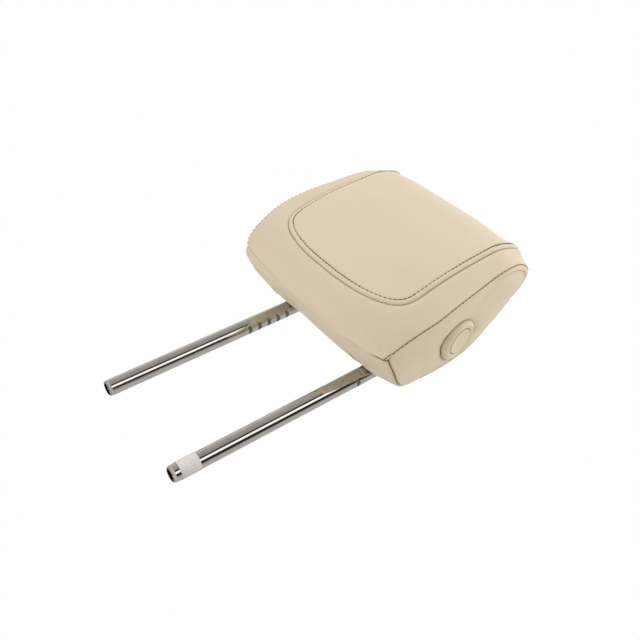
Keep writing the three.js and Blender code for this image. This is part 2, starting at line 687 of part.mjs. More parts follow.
function frontChassis() {
  const plate = innerBody.intersect(boxSolid([-FAR, chassisFront, -FAR], [FAR, chassisRear, FAR]));
  const sockets = guideRodPlaces.map((x) => barSolid(
    'y', GUIDE_ROD_DIAMETER / 2 + TOUCH_GAP + GUIDE_BOSS_WALL,
    chassisRear - 0.5, chassisRear + GUIDE_SOCKET_DEPTH, [x, guideRodZ], 20,
  ));
  const rodHoles = guideRodPlaces.map((x) => barSolid(
    'y', GUIDE_ROD_DIAMETER / 2 + TOUCH_GAP,
    chassisRear - 1, chassisRear + GUIDE_SOCKET_DEPTH + 1, [x, guideRodZ], 16,
  ));
  const screwHoles = shellScrewPlaces.flatMap(([x, z]) => [
    barSolid('y', SHELL_SCREW_DIAMETER / 2 + TOUCH_GAP, chassisFront - 1, chassisRear + 1, [x, z], 12),
    barSolid('y', SCREW_HEAD_DIAMETER / 2 + TOUCH_GAP, chassisFront - 1,
      screwHeadFront + SCREW_HEAD_HEIGHT + TOUCH_GAP, [x, z], 16),
  ]);
  const windowLow = pivotZ - CHASSIS_WINDOW_HEIGHT / 2 - CHASSIS_WINDOW_DROP;
  const windows = [-1, 1].map((side) => {
    const windowX = (side * CHASSIS_WINDOW_SPACING) / 2;
    const rib = side > 0 ? CHASSIS_ROD_RIB : 0;
    return boxSolid(
      [windowX - CHASSIS_WINDOW_WIDTH / 2, chassisFront - 1, windowLow],
      [windowX + CHASSIS_WINDOW_WIDTH / 2 - rib, chassisRear + 1, windowLow + CHASSIS_WINDOW_HEIGHT],
    );
  });
  return cutAll(joinAll([plate, ...sockets]), [...rodHoles, ...screwHoles, ...windows, housingPocket]);
}

// The long slots that the posts travel in, cut up through the underside.
const slotLow = cushionBase - 20;
const slotHeight = CROSS_TUBE_HEIGHT + postRadius + RUNNING_GAP;
const slotCutters = [-1, 1].map((side) => {
  const front = slotFront + slotHalfWidth;
  const rear = Math.max(slotRear - slotHalfWidth, front + 1);
  return joinAll([
    barSolid('z', slotHalfWidth, slotLow, slotHeight, [side * postX, front], 24),
    boxSolid(
      [side * postX - slotHalfWidth, front, slotLow],
      [side * postX + slotHalfWidth, rear, slotHeight],
    ),
    barSolid('z', slotHalfWidth, slotLow, slotHeight, [side * postX, rear], 24),
  ]);
});

// Room inside the shell for the bends, through the whole travel.
const bendRoom = [-1, 1].map((side) => {
  const inner = side * (postX - POST_BEND_RADIUS);
  const outer = side * (postX + slotHalfWidth);
  return boxSolid(
    [Math.min(inner, outer), slotFront, bendStart],
    [Math.max(inner, outer), slotRear, slotHeight],
  );
});

// Room inside the shell for the latch's bracket and pin.
const bracketHalf = hubRadius + BRACKET_MARGIN;
const bracketRoom = boxSolid(
  [-LATCH_ARM_WIDTH - BRACKET_THICKNESS - TOUCH_GAP, chassisRear, pivotZ - bracketHalf - TOUCH_GAP],
  [PIVOT_X + bracketHalf + TOUCH_GAP, earRear + BRACKET_THICKNESS + TOUCH_GAP, bracketTop + TOUCH_GAP],
);

// Room inside the shell for the carriage and its rail, through the whole travel.
const carriageRoom = [
  boxSolid(
    [-CARRIAGE_WIDTH / 2 - RUNNING_GAP, chassisRear, carriageBottom - RUNNING_GAP],
    [CARRIAGE_WIDTH / 2 + RUNNING_GAP, carriageRearDepth + RUNNING_GAP, carriageTop + RUNNING_GAP],
  ),
  boxSolid(
    [-RAIL_WIDTH / 2 - RUNNING_GAP, chassisRear, carriageTop],
    [RAIL_WIDTH / 2 + RUNNING_GAP, railRear + RUNNING_GAP, railTop + RUNNING_GAP],
  ),
];

function rearShell() {
  const tub = cushionSolid(coverDepth).subtract(cushionSolid(shellDepth)).intersect(behind(chassisRear + TOUCH_GAP));
  const insideBody = cushionSolid(coverDepth + 0.6);
  const screwBosses = shellScrewPlaces.map(([x, z]) => barSolid(
    'y', SHELL_SCREW_DIAMETER / 2 + TOUCH_GAP + SHELL_BOSS_WALL, chassisRear + TOUCH_GAP, FAR, [x, z], 16,
  ));
  const rodBosses = guideRodPlaces.map((x) => barSolid(
    'y', GUIDE_ROD_DIAMETER / 2 + TOUCH_GAP + GUIDE_BOSS_WALL,
    guideRodRear - GUIDE_SOCKET_DEPTH, FAR, [x, guideRodZ], 20,
  ));
  const bosses = joinAll([...screwBosses, ...rodBosses]).intersect(insideBody);
  const screwHoles = shellScrewPlaces.map(([x, z]) => barSolid(
    'y', SHELL_SCREW_DIAMETER / 2 + TOUCH_GAP, chassisRear, shellScrewTip + RUNNING_GAP, [x, z], 12,
  ));
  const rodHoles = guideRodPlaces.map((x) => barSolid(
    'y', GUIDE_ROD_DIAMETER / 2 + TOUCH_GAP, 0, guideRodRear + TOUCH_GAP, [x, guideRodZ], 16,
  ));
  const rooms = [...bendRoom, ...carriageRoom, bracketRoom, housingPocket];
  return cutAll(tub.add(bosses), [...screwHoles, ...rodHoles, ...slotCutters, ...rooms]);
}

function frontFoam() {
  const block = innerBody.intersect(aheadOf(chassisFront - TOUCH_GAP));
  return cutAll(block, [housingPocket, bezelPocket]);
}

// Covers

const halfWidthAt = (v) => section(v)[0];

// Half the width of the centre panel at a station: a half ellipse below, straight above.
function centreHalfWidth(v) {
  const s = Math.min((v - CENTRE_SEAM_START) / (CENTRE_SEAM_SHOULDER - CENTRE_SEAM_START), 1);
  return (CENTRE_PANEL_WIDTH / 2) * Math.sqrt(1 - (1 - s) ** 2);
}

const ellipseStation = (angle) => (
  lerp(CENTRE_SEAM_SHOULDER, CENTRE_SEAM_START, Math.cos(angle))
);

function coverGrid(uvRows) {
  const outer = uvRows.map((line) => line.map(([u, v]) => insetPoint(u, v, 0)));
  const inner = uvRows.map((line) => line.map(([u, v]) => insetPoint(u, v, COVER_THICKNESS)));
  return sheetSolid(outer, inner);
}

function centreCover() {
  const low = range(9, (k) => ellipseStation(((k + 0.35) / 8.35) * (Math.PI / 2)));
  const high = range(14, (k) => lerp(CENTRE_SEAM_SHOULDER, TOP_SEAM - 0.02, (k + 1) / 14));
  return coverGrid([...low, ...high].map((v) => {
    const reach = (centreHalfWidth(v) - PANEL_GAP / 2) / halfWidthAt(v);
    return range(13, (k) => [lerp(-reach, reach, k / 12), v]);
  }));
}

function surroundCover() {
  const cornerAngle = 0.62;
  const seamU = (v) => 1 - PANEL_GAP / 2 / halfWidthAt(v);
  const half = (side) => {
    const low = range(8, (k) => {
      const angle = (k / 8) * cornerAngle;
      const u = Math.sin(angle) / Math.sin(cornerAngle);
      return { inner: angle, outer: [u * seamU(0), 0.03] };
    });
    const rise = range(8, (k) => {
      const share = k / 8;
      return { inner: lerp(cornerAngle, Math.PI / 2, share), outer: [seamU(0), lerp(0.03, CENTRE_SEAM_SHOULDER, share)] };
    });
    const bottom = [...low, ...rise].map(({ inner, outer }) => {
      const v = ellipseStation(inner);
      const edge = (CENTRE_PANEL_WIDTH / 2 + PANEL_GAP / 2) * Math.sin(inner);
      return [[edge / halfWidthAt(v), v - (PANEL_GAP / 18) * Math.cos(inner)], [outer[0], outer[1]]];
    });
    const arm = range(15, (k) => {
      const v = lerp(CENTRE_SEAM_SHOULDER, TOP_SEAM - 0.02, k / 14);
      return [[(CENTRE_PANEL_WIDTH / 2 + PANEL_GAP / 2) / halfWidthAt(v), v], [seamU(v), v]];
    });
    return [...bottom, ...arm].map(([from, to]) => (
      range(6, (k) => [side * lerp(from[0], to[0], k / 5), lerp(from[1], to[1], k / 5)])
    ));
  };
  return coverGrid([...half(-1).reverse().slice(0, -1), ...half(1)]);
}

function widthCover(from, to, count, across = 14) {
  return coverGrid(range(count, (k) => {
    const v = lerp(from, to, k / (count - 1));
    const reach = 1 - PANEL_GAP / 2 / halfWidthAt(v);
    return range(across + 1, (j) => [lerp(-reach, reach, j / across), v]);
  }));
}

// A side panel: rings from the button's centre out to the edge of the cushion.
function sideCover(side, innerRadius) {
  const around = ROWS * 2;
  const edge = range(around, (k) => section(k / 2).slice(0, 3));
  const ring = (share, depth) => edge.map(([x, y, z]) => {
    const away = new THREE.Vector2(y - buttonY, z - buttonZ);
    const length = away.length() - depth - PANEL_GAP / 2;
    const radius = lerp(innerRadius, length, share);
    away.setLength(radius);
    const shareOut = radius / length;
    return new THREE.Vector3(
      side * (lerp(sideX, x, shareOut ** 2) - depth), buttonY + away.x, buttonZ + away.y,
    );
  });
  const shares = [0, 0.35, 0.7, 1];
  return sheetSolid(
    shares.map((share) => ring(share, 0)),
    shares.map((share) => ring(share, COVER_THICKNESS)),
    true,
  );
}

// The parts that stay with the posts

const postsGroup = new THREE.Group();
addPart(postsGroup, 'post_frame', postFrame(), chrome());
addPart(postsGroup, 'paper_band', paperBand(), paper());
addPart(postsGroup, 'carriage_front', carriageHalf(-CARRIAGE_FRONT_DEPTH, -TOUCH_GAP / 2), blackPlastic());
addPart(postsGroup, 'carriage_rear', carriageHalf(TOUCH_GAP / 2, carriageRearDepth), blackPlastic());
addPart(postsGroup, 'latch_rail', latchRail(), steel());
carriageScrewPlaces.forEach((x, k) => {
  const headY = -CARRIAGE_FRONT_DEPTH - TOUCH_GAP - SCREW_HEAD_HEIGHT;
  const screw = screwAlongY(x, carriageScrewZ, headY, carriageRearDepth - 1, CARRIAGE_SCREW_DIAMETER);
  addPart(postsGroup, `carriage_screw_${k + 1}`, screw, steel());
});
headrest.add(postsGroup);

// The parts that slide with the pad

const padGroup = new THREE.Group();
addPart(padGroup, 'front_foam', frontFoam(), foam());
addPart(padGroup, 'front_chassis', frontChassis(), blackPlastic());
addPart(padGroup, 'rear_shell', rearShell(), blackPlastic());
shellScrewPlaces.forEach(([x, z], k) => {
  const screw = screwAlongY(x, z, screwHeadFront, shellScrewTip, SHELL_SCREW_DIAMETER);
  addPart(padGroup, `shell_screw_${k + 1}`, screw, steel());
});
guideRodPlaces.forEach((x, k) => {
  const rod = barSolid('y', GUIDE_ROD_DIAMETER / 2, chassisRear - 1 + TOUCH_GAP, guideRodRear, [x, guideRodZ], 16);
  addPart(padGroup, `guide_rod_${k + 1}`, rod, steel());
});
addPart(padGroup, 'centre_cover', centreCover(), leather(0.42));
addPart(padGroup, 'surround_cover', surroundCover(), leather(0.45));
addPart(padGroup, 'side_cover_right', sideCover(1, bezelOuter - 1).subtract(bezelPocket), leather(0.45));
addPart(padGroup, 'side_cover_left', sideCover(-1, 0.5), leather(0.45));
addPart(padGroup, 'rear_cover', widthCover(TOP_SEAM + 0.02, VALANCE_SEAM - 0.02, 9), leather(0.45));
addPart(padGroup, 'bottom_valance', cutAll(widthCover(VALANCE_SEAM + 0.02, ROWS - 0.03, 8), slotCutters), leather(0.5));
addPart(padGroup, 'bezel_ring', bezelRing(), beigePlastic());
addPart(padGroup, 'button_housing', buttonHousing(), blackPlastic());
addPart(padGroup, 'pivot_bracket', pivotBracket(), steel());
addPart(padGroup, 'pivot_pin', pivotPin(), steel());
addPart(padGroup, 'latch_spring', latchSpring(), steel());
headrest.add(padGroup);

// The button and the latch that it turns

const buttonGroup = new THREE.Group();
addPart(buttonGroup, 'button_cap', buttonCap(), beigePlastic());
addPart(buttonGroup, 'push_rod', pushRod(), steel());
headrest.add(buttonGroup);

const latchGroup = new THREE.Group();
addPart(latchGroup, 'latch_lever', latchLever(), steel());
headrest.add(latchGroup);

export default headrest;
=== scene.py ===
"""Car headrest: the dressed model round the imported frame.

Lengths in the tables and shape functions are millimetres in the part's own frame: +Z runs up the posts,
-Y is the face the head rests on, +X is the side with the button. Meshes are made in metres.
"""

import json
import math

import bpy
import numpy as np
from mathutils import Matrix, Vector
from mathutils.bvhtree import BVHTree


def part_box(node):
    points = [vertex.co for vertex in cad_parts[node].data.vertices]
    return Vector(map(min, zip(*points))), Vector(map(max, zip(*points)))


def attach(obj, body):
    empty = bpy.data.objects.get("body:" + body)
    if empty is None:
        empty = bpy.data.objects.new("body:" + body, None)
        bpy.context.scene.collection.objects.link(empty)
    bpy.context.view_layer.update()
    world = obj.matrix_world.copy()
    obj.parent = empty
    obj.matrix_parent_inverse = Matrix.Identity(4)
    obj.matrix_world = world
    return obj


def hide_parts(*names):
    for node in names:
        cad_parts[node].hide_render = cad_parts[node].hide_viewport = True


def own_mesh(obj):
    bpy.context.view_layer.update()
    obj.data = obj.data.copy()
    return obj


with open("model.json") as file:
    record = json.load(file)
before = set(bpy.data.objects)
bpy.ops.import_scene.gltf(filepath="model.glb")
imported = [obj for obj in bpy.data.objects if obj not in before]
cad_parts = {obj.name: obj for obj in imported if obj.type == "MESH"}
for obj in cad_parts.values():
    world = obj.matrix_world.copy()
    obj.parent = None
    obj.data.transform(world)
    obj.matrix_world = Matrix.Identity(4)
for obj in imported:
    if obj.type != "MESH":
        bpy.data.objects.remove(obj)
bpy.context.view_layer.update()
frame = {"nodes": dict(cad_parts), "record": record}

MM = 0.001

# Camera of the photograph

CAMERA_PLACE = (0.45363, -0.51240, -0.14691)
CAMERA_RIGHT = (0.59627561, -0.01955762, 0.80254152)
CAMERA_DOWN = (0.52711895, 0.76353870, -0.37303387)
CAMERA_AHEAD = (-0.60547586, 0.64546584, 0.46558870)
CAMERA_LENS = 42.75

# Posts and paper band

POST_RADIUS = 8
POST_BORE_RADIUS = 5
POST_X = 62
BEND_RADIUS = 24
CROSS_TUBE_Z = 246
NOSE_LENGTH = 4
NOSE_RADIUS = 6.2
NOTCH_DEPTH = 1.9
NOTCH_LENGTH = 4.2
LEFT_NOTCHES = [152.5 + 11.4 * k for k in range(5)]
RIGHT_NOTCHES = [194.8]
BAND_BOTTOM = 7.8
BAND_TOP = 26.4
BAND_RADIUS = 8.35
BAND_THICKNESS = 0.12
BAND_START = 2.4

# Button and its ring

BUTTON_Y = -43.8
BUTTON_Z = 279.0
BUTTON_RADIUS = 13.65
BUTTON_FACE_X = 114.29
BUTTON_BACK_X = 109.29
RING_HOLE_RADIUS = 14.4
RING_RADIUS = 22.8
RING_BACK_X = 110.09
RING_FACE_X = 114.69
RING_SWELL = 0.1
SIDE_X = 112.69
BUTTON_LEAN = (1.0, 0.085, 0.12)

# The slots in the underside that the posts travel in

SLOT_RADIUS = 10
SLOT_FRONT_Y = -23.5
SLOT_REAR_Y = -0.5

# Cover

BACKING = 2.4
STITCH_PITCH = 4.6
STITCH_LENGTH = 3.9
THREAD_THICKNESS = 0.88
CENTRE_HALF_WIDTH = 91.0
CENTRE_START = 1.97
CENTRE_SHOULDER = 4.3
CENTRE_STITCH_INSET = 5.4
SURROUND_CORNER = 0.62
TOP_SEAM = 11.5
UNDERSIDE_SEAM = 15.6
PUFF_CAP = 1.6
PUFF_SINK = 0.25
PADDING_PRESSURE = 14.0
PADDING_STEPS = 20
FAR_SIDE_HOLE = 2.5

# Roughly how far apart two stations are along the leather, near each seam that runs across

TOP_ROW_PITCH = 24
BOTTOM_ROW_PITCH = 21
REAR_ROW_PITCH = 26

# The cushion's outer surface, one row for each station round its section, from the front lower edge up the
# face and down the back: the edge's X, Y and Z, the middle's Y and Z, and how flat the middle stays.

STATIONS = np.array([
    (107.3, -61.5, 191.0, -59.0, 182.0, 3.5), (112.0, -71.5, 198.0, -80.0, 188.5, 3.5),
    (114.6, -78.8, 212.0, -92.0, 205.0, 3.5), (117.2, -85.0, 226.0, -98.0, 223.0, 3.5),
    (118.4, -89.6, 243.0, -103.5, 243.0, 3.5), (116.4, -94.8, 270.0, -110.5, 272.0, 3.5),
    (112.6, -97.4, 301.0, -115.5, 304.0, 3.5), (108.8, -98.6, 325.0, -116.0, 330.0, 3.5),
    (105.8, -97.0, 343.0, -113.0, 350.0, 3.5), (104.0, -91.5, 359.0, -104.5, 363.5, 3.5),
    (102.8, -79.0, 370.5, -88.0, 370.5, 3.5), (103.5, -60.5, 367.0, -62.0, 368.5, 3.0),
    (105.5, -43.0, 350.0, -28.0, 350.0, 2.6), (108.2, -28.0, 322.0, 2.0, 325.0, 2.4),
    (110.5, -19.0, 292.0, 19.0, 294.0, 2.2), (111.3, -17.0, 262.0, 26.0, 262.0, 2.1),
    (111.8, -19.5, 234.0, 23.0, 236.0, 2.4), (113.0, -24.5, 209.5, 1.0, 214.0, 3.0),
    (113.0, -43.0, 197.5, -34.0, 192.5, 3.5),
])
ROWS = len(STATIONS)


def eased(low, high, value):
    """0 below low, 1 above high, smooth between."""
    share = np.clip((value - low) / (high - low), 0, 1)
    return share * share * (3 - 2 * share)


def section(v):
    """The station between two rows of the table, on a smooth closed curve."""
    start = np.floor(v).astype(int)
    s = (v - start)[..., None]
    a, b, c, d = (STATIONS[(start + k) % ROWS] for k in (-1, 0, 1, 2))
    return 0.5 * (2 * b + (c - a) * s + (2 * a - 5 * b + 4 * c - d) * s**2 + (3 * b - a - 3 * c + d) * s**3)


def bare_rib(t, v):
    """Right half of the cushion with a sharp edge; t runs from the face, below 0, on to the side, above 0."""
    x, y, z, middle_y, middle_z, flat = np.moveaxis(section(v), -1, 0)
    u = np.minimum(1 + t / x, 1)
    share = np.abs(u) ** flat
    face = np.stack([u * x, middle_y + (y - middle_y) * share, middle_z + (z - middle_z) * share], -1)
    away_y, away_z = y - BUTTON_Y, z - BUTTON_Z
    out = np.clip(1 - np.maximum(t, 0) / np.hypot(away_y, away_z), 0, 1)
    side = np.stack([SIDE_X + (x - SIDE_X) * out**2, BUTTON_Y + away_y * out, BUTTON_Z + away_z * out], -1)
    return np.where((t < 0)[..., None], face, side)


TAPS = np.linspace(-1, 1, 9)
TAP_WEIGHTS = np.cos(TAPS[1:-1] * math.pi / 2) ** 2
TAP_WEIGHTS = TAP_WEIGHTS / TAP_WEIGHTS.sum()


def edge_reach(v):
    """How far the rounding of the edge reaches: tight round the face, soft down the back."""
    turn = np.mod(v, ROWS)
    return 3.2 + 6.0 * eased(11.0, 13.5, turn) * (1 - eased(17.0, 18.6, turn))


def rounded_rib(t, v):
    reach = edge_reach(v)
    point = sum(w * bare_rib(t + tap * reach, v) for tap, w in zip(TAPS[1:-1], TAP_WEIGHTS))
    apex = sum(w * bare_rib(tap * reach, v) for tap, w in zip(TAPS[1:-1], TAP_WEIGHTS))
    lift = np.cos(np.clip(t / (2.4 * reach), -1, 1) * math.pi / 2) ** 2
    turn = np.mod(v, ROWS)
    lift = lift * (0.8 - 0.75 * eased(10.6, 12.0, turn) * (1 - eased(13.4, 16.0, turn)))
    return point + (bare_rib(np.zeros_like(v), v) - apex) * lift[..., None]


def half_width(v):
    return section(v)[..., 0]


def seam_overlap(v):
    """How far past the edge the side's seam lies; the overlap narrows round the lower rear corner."""
    turn = np.mod(v, ROWS)
    return 4.5 - 3.4 * eased(15.6, 16.6, turn) * (1 - eased(17.4, 18.7, turn))


def fullness(s, v):
    """How far the stuffing pushes the leather off the table's surface."""
    turn = np.mod(v, ROWS)
    low = np.where(turn > 14, turn - ROWS, turn)
    wide = np.abs(s)
    top = 3.3 * eased(6.2, 8.0, turn) * (1 - eased(9.8, 11.4, turn))
    shoulder = 5.0 * np.exp(-((wide - 86) / 10) ** 2 - ((turn - 9.5) / 0.7) ** 2)
    rear_edge = -3.0 * eased(84, 103, wide) * np.exp(-((turn - 12.2) / 1.2) ** 2)
    left_roll = 3.4 * eased(35, 60, -s) * (1 - eased(-0.5, 0.0, low))
    left_roll = (left_roll + 2.6 * eased(75, 108, -s) * (1 - eased(-0.3, 1.2, low))) * eased(-2.2, -1.4, low)
    left_edge = 1.6 * eased(-0.6, 0.6, low) * (1 - eased(1.8, 3.4, low))
    left_edge = left_edge + 0.6 * eased(1.8, 3.4, low) * (1 - eased(6.5, 8.0, low))
    left_edge = left_edge * eased(96, 108, -s)
    between_posts = -1.3 * (1 - eased(45, 75, wide)) * np.exp(-((low + 1.8) / 0.9) ** 2)
    total = top + shoulder + rear_edge + left_roll + left_edge + between_posts
    return total * (1 - eased(118, 150, wide))


def skin(s, v):
    """A point of the outer surface: s runs across it from the middle, past the edge and on to a side."""
    point = rounded_rib(np.abs(s) - half_width(v), v)
    point[..., 0] *= np.where(s < 0, -1, 1)
    return point


def skin_with_normal(s, v):
    s, v = np.broadcast_arrays(np.asarray(s, float), np.asarray(v, float))
    across = skin(s + 0.4, v) - skin(s - 0.4, v)
    along = skin(s, v + 0.02) - skin(s, v - 0.02)
    normal = np.cross(across, along)
    return skin(s, v), normal / np.maximum(np.linalg.norm(normal, axis=-1, keepdims=True), 1e-9)


# Seams

def dip(distance, depth, wide):
    """A seam's groove: each side rolls down to it like a quarter circle."""
    share = np.clip(np.abs(distance) / wide, 0, 1)
    return -depth * (1 - np.sqrt(np.maximum(1 - (1 - share) ** 2, 0)))


def hump(distance, height, wide):
    return height * np.exp(-((distance / wide) ** 2))


def side_groove_depth(v):
    turn = np.mod(v, ROWS)
    return np.interp(
        turn,
        [0, 0.4, 1.0, 3.0, 5.0, 6.5, 8.0, 11.5, 15.6, 17.0, 18.0, 19.0],
        [1.9, 1.0, 0.35, 0.25, 0.3, 0.5, 0.9, 1.0, 0.9, 1.9, 2.3, 1.9],
    )


def bottom_groove_depth(s):
    right = np.interp(s, [0, 52, 62, 78, 88, 92, 98, 112], [0.0, 0.0, 0.30, 0.35, 0.0, 0.4, 1.7, 2.1])
    left = np.interp(-s, [0, 40, 55, 85, 100, 112], [0.0, 0.0, 0.30, 0.40, 0.55, 0.8])
    return np.where(s > 0, right, left)


def seam_half_width(v):
    """Half the centre panel's width; it narrows a little towards the top."""
    return CENTRE_HALF_WIDTH - 2.8 * eased(4.6, 9.0, v)


def seam_across(angle):
    """The lower curve of the centre seam, 0 at its bottom: the way across, as a share of its half width."""
    return np.sign(angle) * np.abs(np.sin(angle)) ** 0.77


def seam_down(angle):
    """The same curve: how far below the shoulder it is, in rows of the table."""
    return (CENTRE_SHOULDER - CENTRE_START) * np.abs(np.cos(angle)) ** 0.667


def seam_curve(inset=0.0, count=240):
    """The centre panel's seam as rows of (s, v), moved inwards by an inset in millimetres."""
    arm = np.linspace(TOP_SEAM, CENTRE_SHOULDER, count, endpoint=False)
    turn = np.linspace(1, -1, 2 * count + 1)
    angle = np.sign(turn) * (1 - (1 - np.abs(turn)) ** 1.5) * math.pi / 2
    s = np.concatenate([
        np.ones(count), seam_across(angle), np.full(count, -1.0),
    ])
    drop = CENTRE_SHOULDER - seam_down(angle)
    v = np.concatenate([arm, drop, arm[::-1]])
    s = s * seam_half_width(v)
    if inset:
        speed = np.linalg.norm(skin(s, v + 0.02) - skin(s, v - 0.02), axis=-1) / 0.04
        step_s, step_v = np.gradient(s), np.gradient(v) * speed
        length = np.hypot(step_s, step_v)
        s = s + inset * step_v / length
        v = v - inset * step_s / length / speed
    return s, v


CENTRE_SEAM = skin(*seam_curve())


def distance_to_centre_seam(points):
    """Millimetres from each point to the centre seam, always positive."""
    flat = points.reshape(-1, 3)
    best = np.empty(len(flat))
    start, step = CENTRE_SEAM[:-1], np.diff(CENTRE_SEAM, axis=0)
    size = np.maximum((step**2).sum(-1), 1e-12)
    for first in range(0, len(flat), 1500):
        part = flat[first:first + 1500, None] - start[None]
        along = np.clip((part * step).sum(-1) / size, 0, 1)
        best[first:first + 1500] = np.linalg.norm(part - along[..., None] * step, axis=-1).min(1)
    return best.reshape(points.shape[:-1])


def side_edge_relief(t, v):
    """Relief round the edge of a side: the stitched line, the overlap and the groove past it."""
    depth = side_groove_depth(v)
    clear = np.clip(depth / 1.2, 0.35, 1)
    return (
        hump(t, -0.4, 0.9)
        + hump(t - 2.3, 0.35 * clear, 1.3)
        + dip(t - seam_overlap(v), depth, np.where(t < seam_overlap(v), 1.7, 3.0))
    )


def side_seam_shade_depth(v):
    """How much painted shade the side's seam gets; it is darkest under the front corner."""
    turn = np.mod(v, ROWS)
    return np.interp(turn, [0, 0.5, 1.2, 15.8, 17.2, 18.2, 19.0], [1.6, 0.7, 0.1, 0.2, 1.2, 1.9, 1.6])


# Painted shade for a seam: darkens the leather's colour along a groove, more where the groove is deeper.
def groove_shade(distance, depth, wide=0.9):
    return np.clip(depth / 2.0, 0, 1) * np.exp(-((distance / wide) ** 2))


# Mesh helpers

def outward(points, faces):
    """The faces, turned round if the shell they make is inside out."""
    corners = points[np.array([face[:3] for face in faces])]
    quads = np.array([face for face in faces if len(face) == 4])
    volume = np.einsum("ij,ij->", corners[:, 0], np.cross(corners[:, 1], corners[:, 2]))
    second = points[quads[:, [0, 2, 3]]]
    volume += np.einsum("ij,ij->", second[:, 0], np.cross(second[:, 1], second[:, 2]))
    return faces if volume > 0 else [face[::-1] for face in faces]


def linked(name, data):
    """An object in the scene that holds the data."""
    made = bpy.data.objects.new(name, data)
    bpy.context.scene.collection.objects.link(made)
    return made


def apply_modifiers(piece):
    bpy.context.view_layer.update()
    made = bpy.data.meshes.new_from_object(piece.evaluated_get(bpy.context.evaluated_depsgraph_get()))
    piece.modifiers.clear()
    piece.data = made


def new_piece(name, points, faces, material, shade=None, sharp_angle=40):
    mesh = bpy.data.meshes.new(name)
    mesh.from_pydata((np.asarray(points) * MM).tolist(), [], [list(map(int, face)) for face in faces])
    mesh.update()
    mesh.polygons.foreach_set("use_smooth", [True] * len(mesh.polygons))
    mesh.set_sharp_from_angle(angle=math.radians(sharp_angle))
    # seam_shade holds the painted shade that darkens the leather's colour in the seam grooves.
    if shade is not None:
        seam_shade = mesh.attributes.new("seam_shade", "FLOAT", "POINT")
        seam_shade.data.foreach_set("value", np.asarray(shade, np.float32))
    mesh.materials.append(material)
    return linked(name, mesh)


def grid_faces(rows, columns, wrap=False):
    """Faces between the points of a grid; with wrap its last column is joined to the first."""
    faces = []
    for row in range(0, (rows - 1) * columns, columns):
        for j in range(columns if wrap else columns - 1):
            after = row + (j + 1) % columns
            faces.append((row + j, after, after + columns, row + j + columns))
    return faces


def looped_faces(rings, sides):
    """Faces between each ring of points and the next, and between the last ring and the first."""
    far = (rings - 1) * sides
    closing = [(far + j, far + (j + 1) % sides, (j + 1) % sides, j) for j in range(sides)]
    return grid_faces(rings, sides, wrap=True) + closing


def prism_faces(count):
    """Faces between two outlines of as many points, and their two caps."""
    walls = [(j, (j + 1) % count, (j + 1) % count + count, j + count) for j in range(count)]
    return walls + [tuple(range(count))[::-1], tuple(range(count, 2 * count))]


def closed_sheet(name, outer, inner, shade, material, wrap=False, hub=False):
    """A cover panel: two grids of points, one above the other, joined round their edges."""
    rows, columns = outer.shape[:2]
    count = rows * columns
    points = np.concatenate([outer.reshape(-1, 3), inner.reshape(-1, 3)])
    top = grid_faces(rows, columns, wrap)
    low = [tuple(k + count for k in face[::-1]) for face in top]
    last = columns if wrap else columns - 1
    rim = []
    for j in range(last):
        after = (j + 1) % columns
        rim.append((j, j + count, after + count, after))
        if not hub:
            far = (rows - 1) * columns
            rim.append((far + after, far + after + count, far + j + count, far + j))
    if not wrap:
        for i in range(rows - 1):
            a, b = i * columns, (i + 1) * columns
            rim.append((b, b + count, a + count, a))
            a, b = a + columns - 1, b + columns - 1
            rim.append((a, a + count, b + count, b))
    full_shade = np.concatenate([shade.reshape(-1), np.zeros(count)])
    if hub:
        far = (rows - 1) * columns
        points = np.concatenate([points, [outer[-1].mean(0), inner[-1].mean(0)]])
        for j in range(columns):
            after = (j + 1) % columns
            rim.append((far + j, far + after, 2 * count))
            rim.append((far + after + count, far + j + count, 2 * count + 1))
        full_shade = np.append(full_shade, [0, 0])
    return new_piece(name, points, outward(points, top + low + rim), material, full_shade)


def tilted(points):
    """Points turned about the button's middle, because its face looks a little up and back."""
    lean = Vector(BUTTON_LEAN).normalized()
    turn = np.array(Vector((1, 0, 0)).rotation_difference(lean).to_matrix())
    middle = np.array([RING_BACK_X, BUTTON_Y, BUTTON_Z])
    return (np.asarray(points) - middle) @ turn.T + middle


def turned(name, profile, material, sides=96, sharp_angle=40):
    """A piece turned about the button's axis; its profile of (radius, X) closes on itself or on the axis."""
    rings = [(r, x) for r, x in profile if r > 0]
    angles = np.arange(sides) * 2 * math.pi / sides
    points = [(x, BUTTON_Y + r * math.cos(a), BUTTON_Z + r * math.sin(a)) for r, x in rings for a in angles]
    if profile[0][0] > 0:
        faces = looped_faces(len(rings), sides)
    else:
        faces = grid_faces(len(rings), sides, wrap=True)
        for ring, x in ((0, profile[0][1]), (len(rings) - 1, profile[-1][1])):
            hub = len(points)
            points.append((x, BUTTON_Y, BUTTON_Z))
            for j in range(sides):
                pair = (ring * sides + j, ring * sides + (j + 1) % sides)
                faces.append((pair[1], pair[0], hub) if ring == 0 else (pair[0], pair[1], hub))
    points = tilted(points)
    return new_piece(name, points, outward(points, faces), material, sharp_angle=sharp_angle)


def arc_profile(centre, radius, start, end, count=7):
    """Points (r, x) on an arc, in degrees from the +r direction towards +X."""
    return [
        (centre[0] + radius * math.cos(math.radians(a)), centre[1] + radius * math.sin(math.radians(a)))
        for a in np.linspace(start, end, count)
    ]


# Node helpers

def add_node(tree, kind, **values):
    """A node with its properties set, and its inputs by name or number."""
    node = tree.nodes.new(kind)
    for key, value in values.pop("props", {}).items():
        setattr(node, key, value)
    for key, value in values.pop("inputs", {}).items():
        if isinstance(value, bpy.types.NodeSocket):
            tree.links.new(value, node.inputs[key])
        else:
            node.inputs[key].default_value = value
    return node


def maths(tree, operation, first, second=0.0, third=0.0):
    inputs = {0: first, 1: second, 2: third}
    return add_node(tree, "ShaderNodeMath", props={"operation": operation}, inputs=inputs).outputs[0]


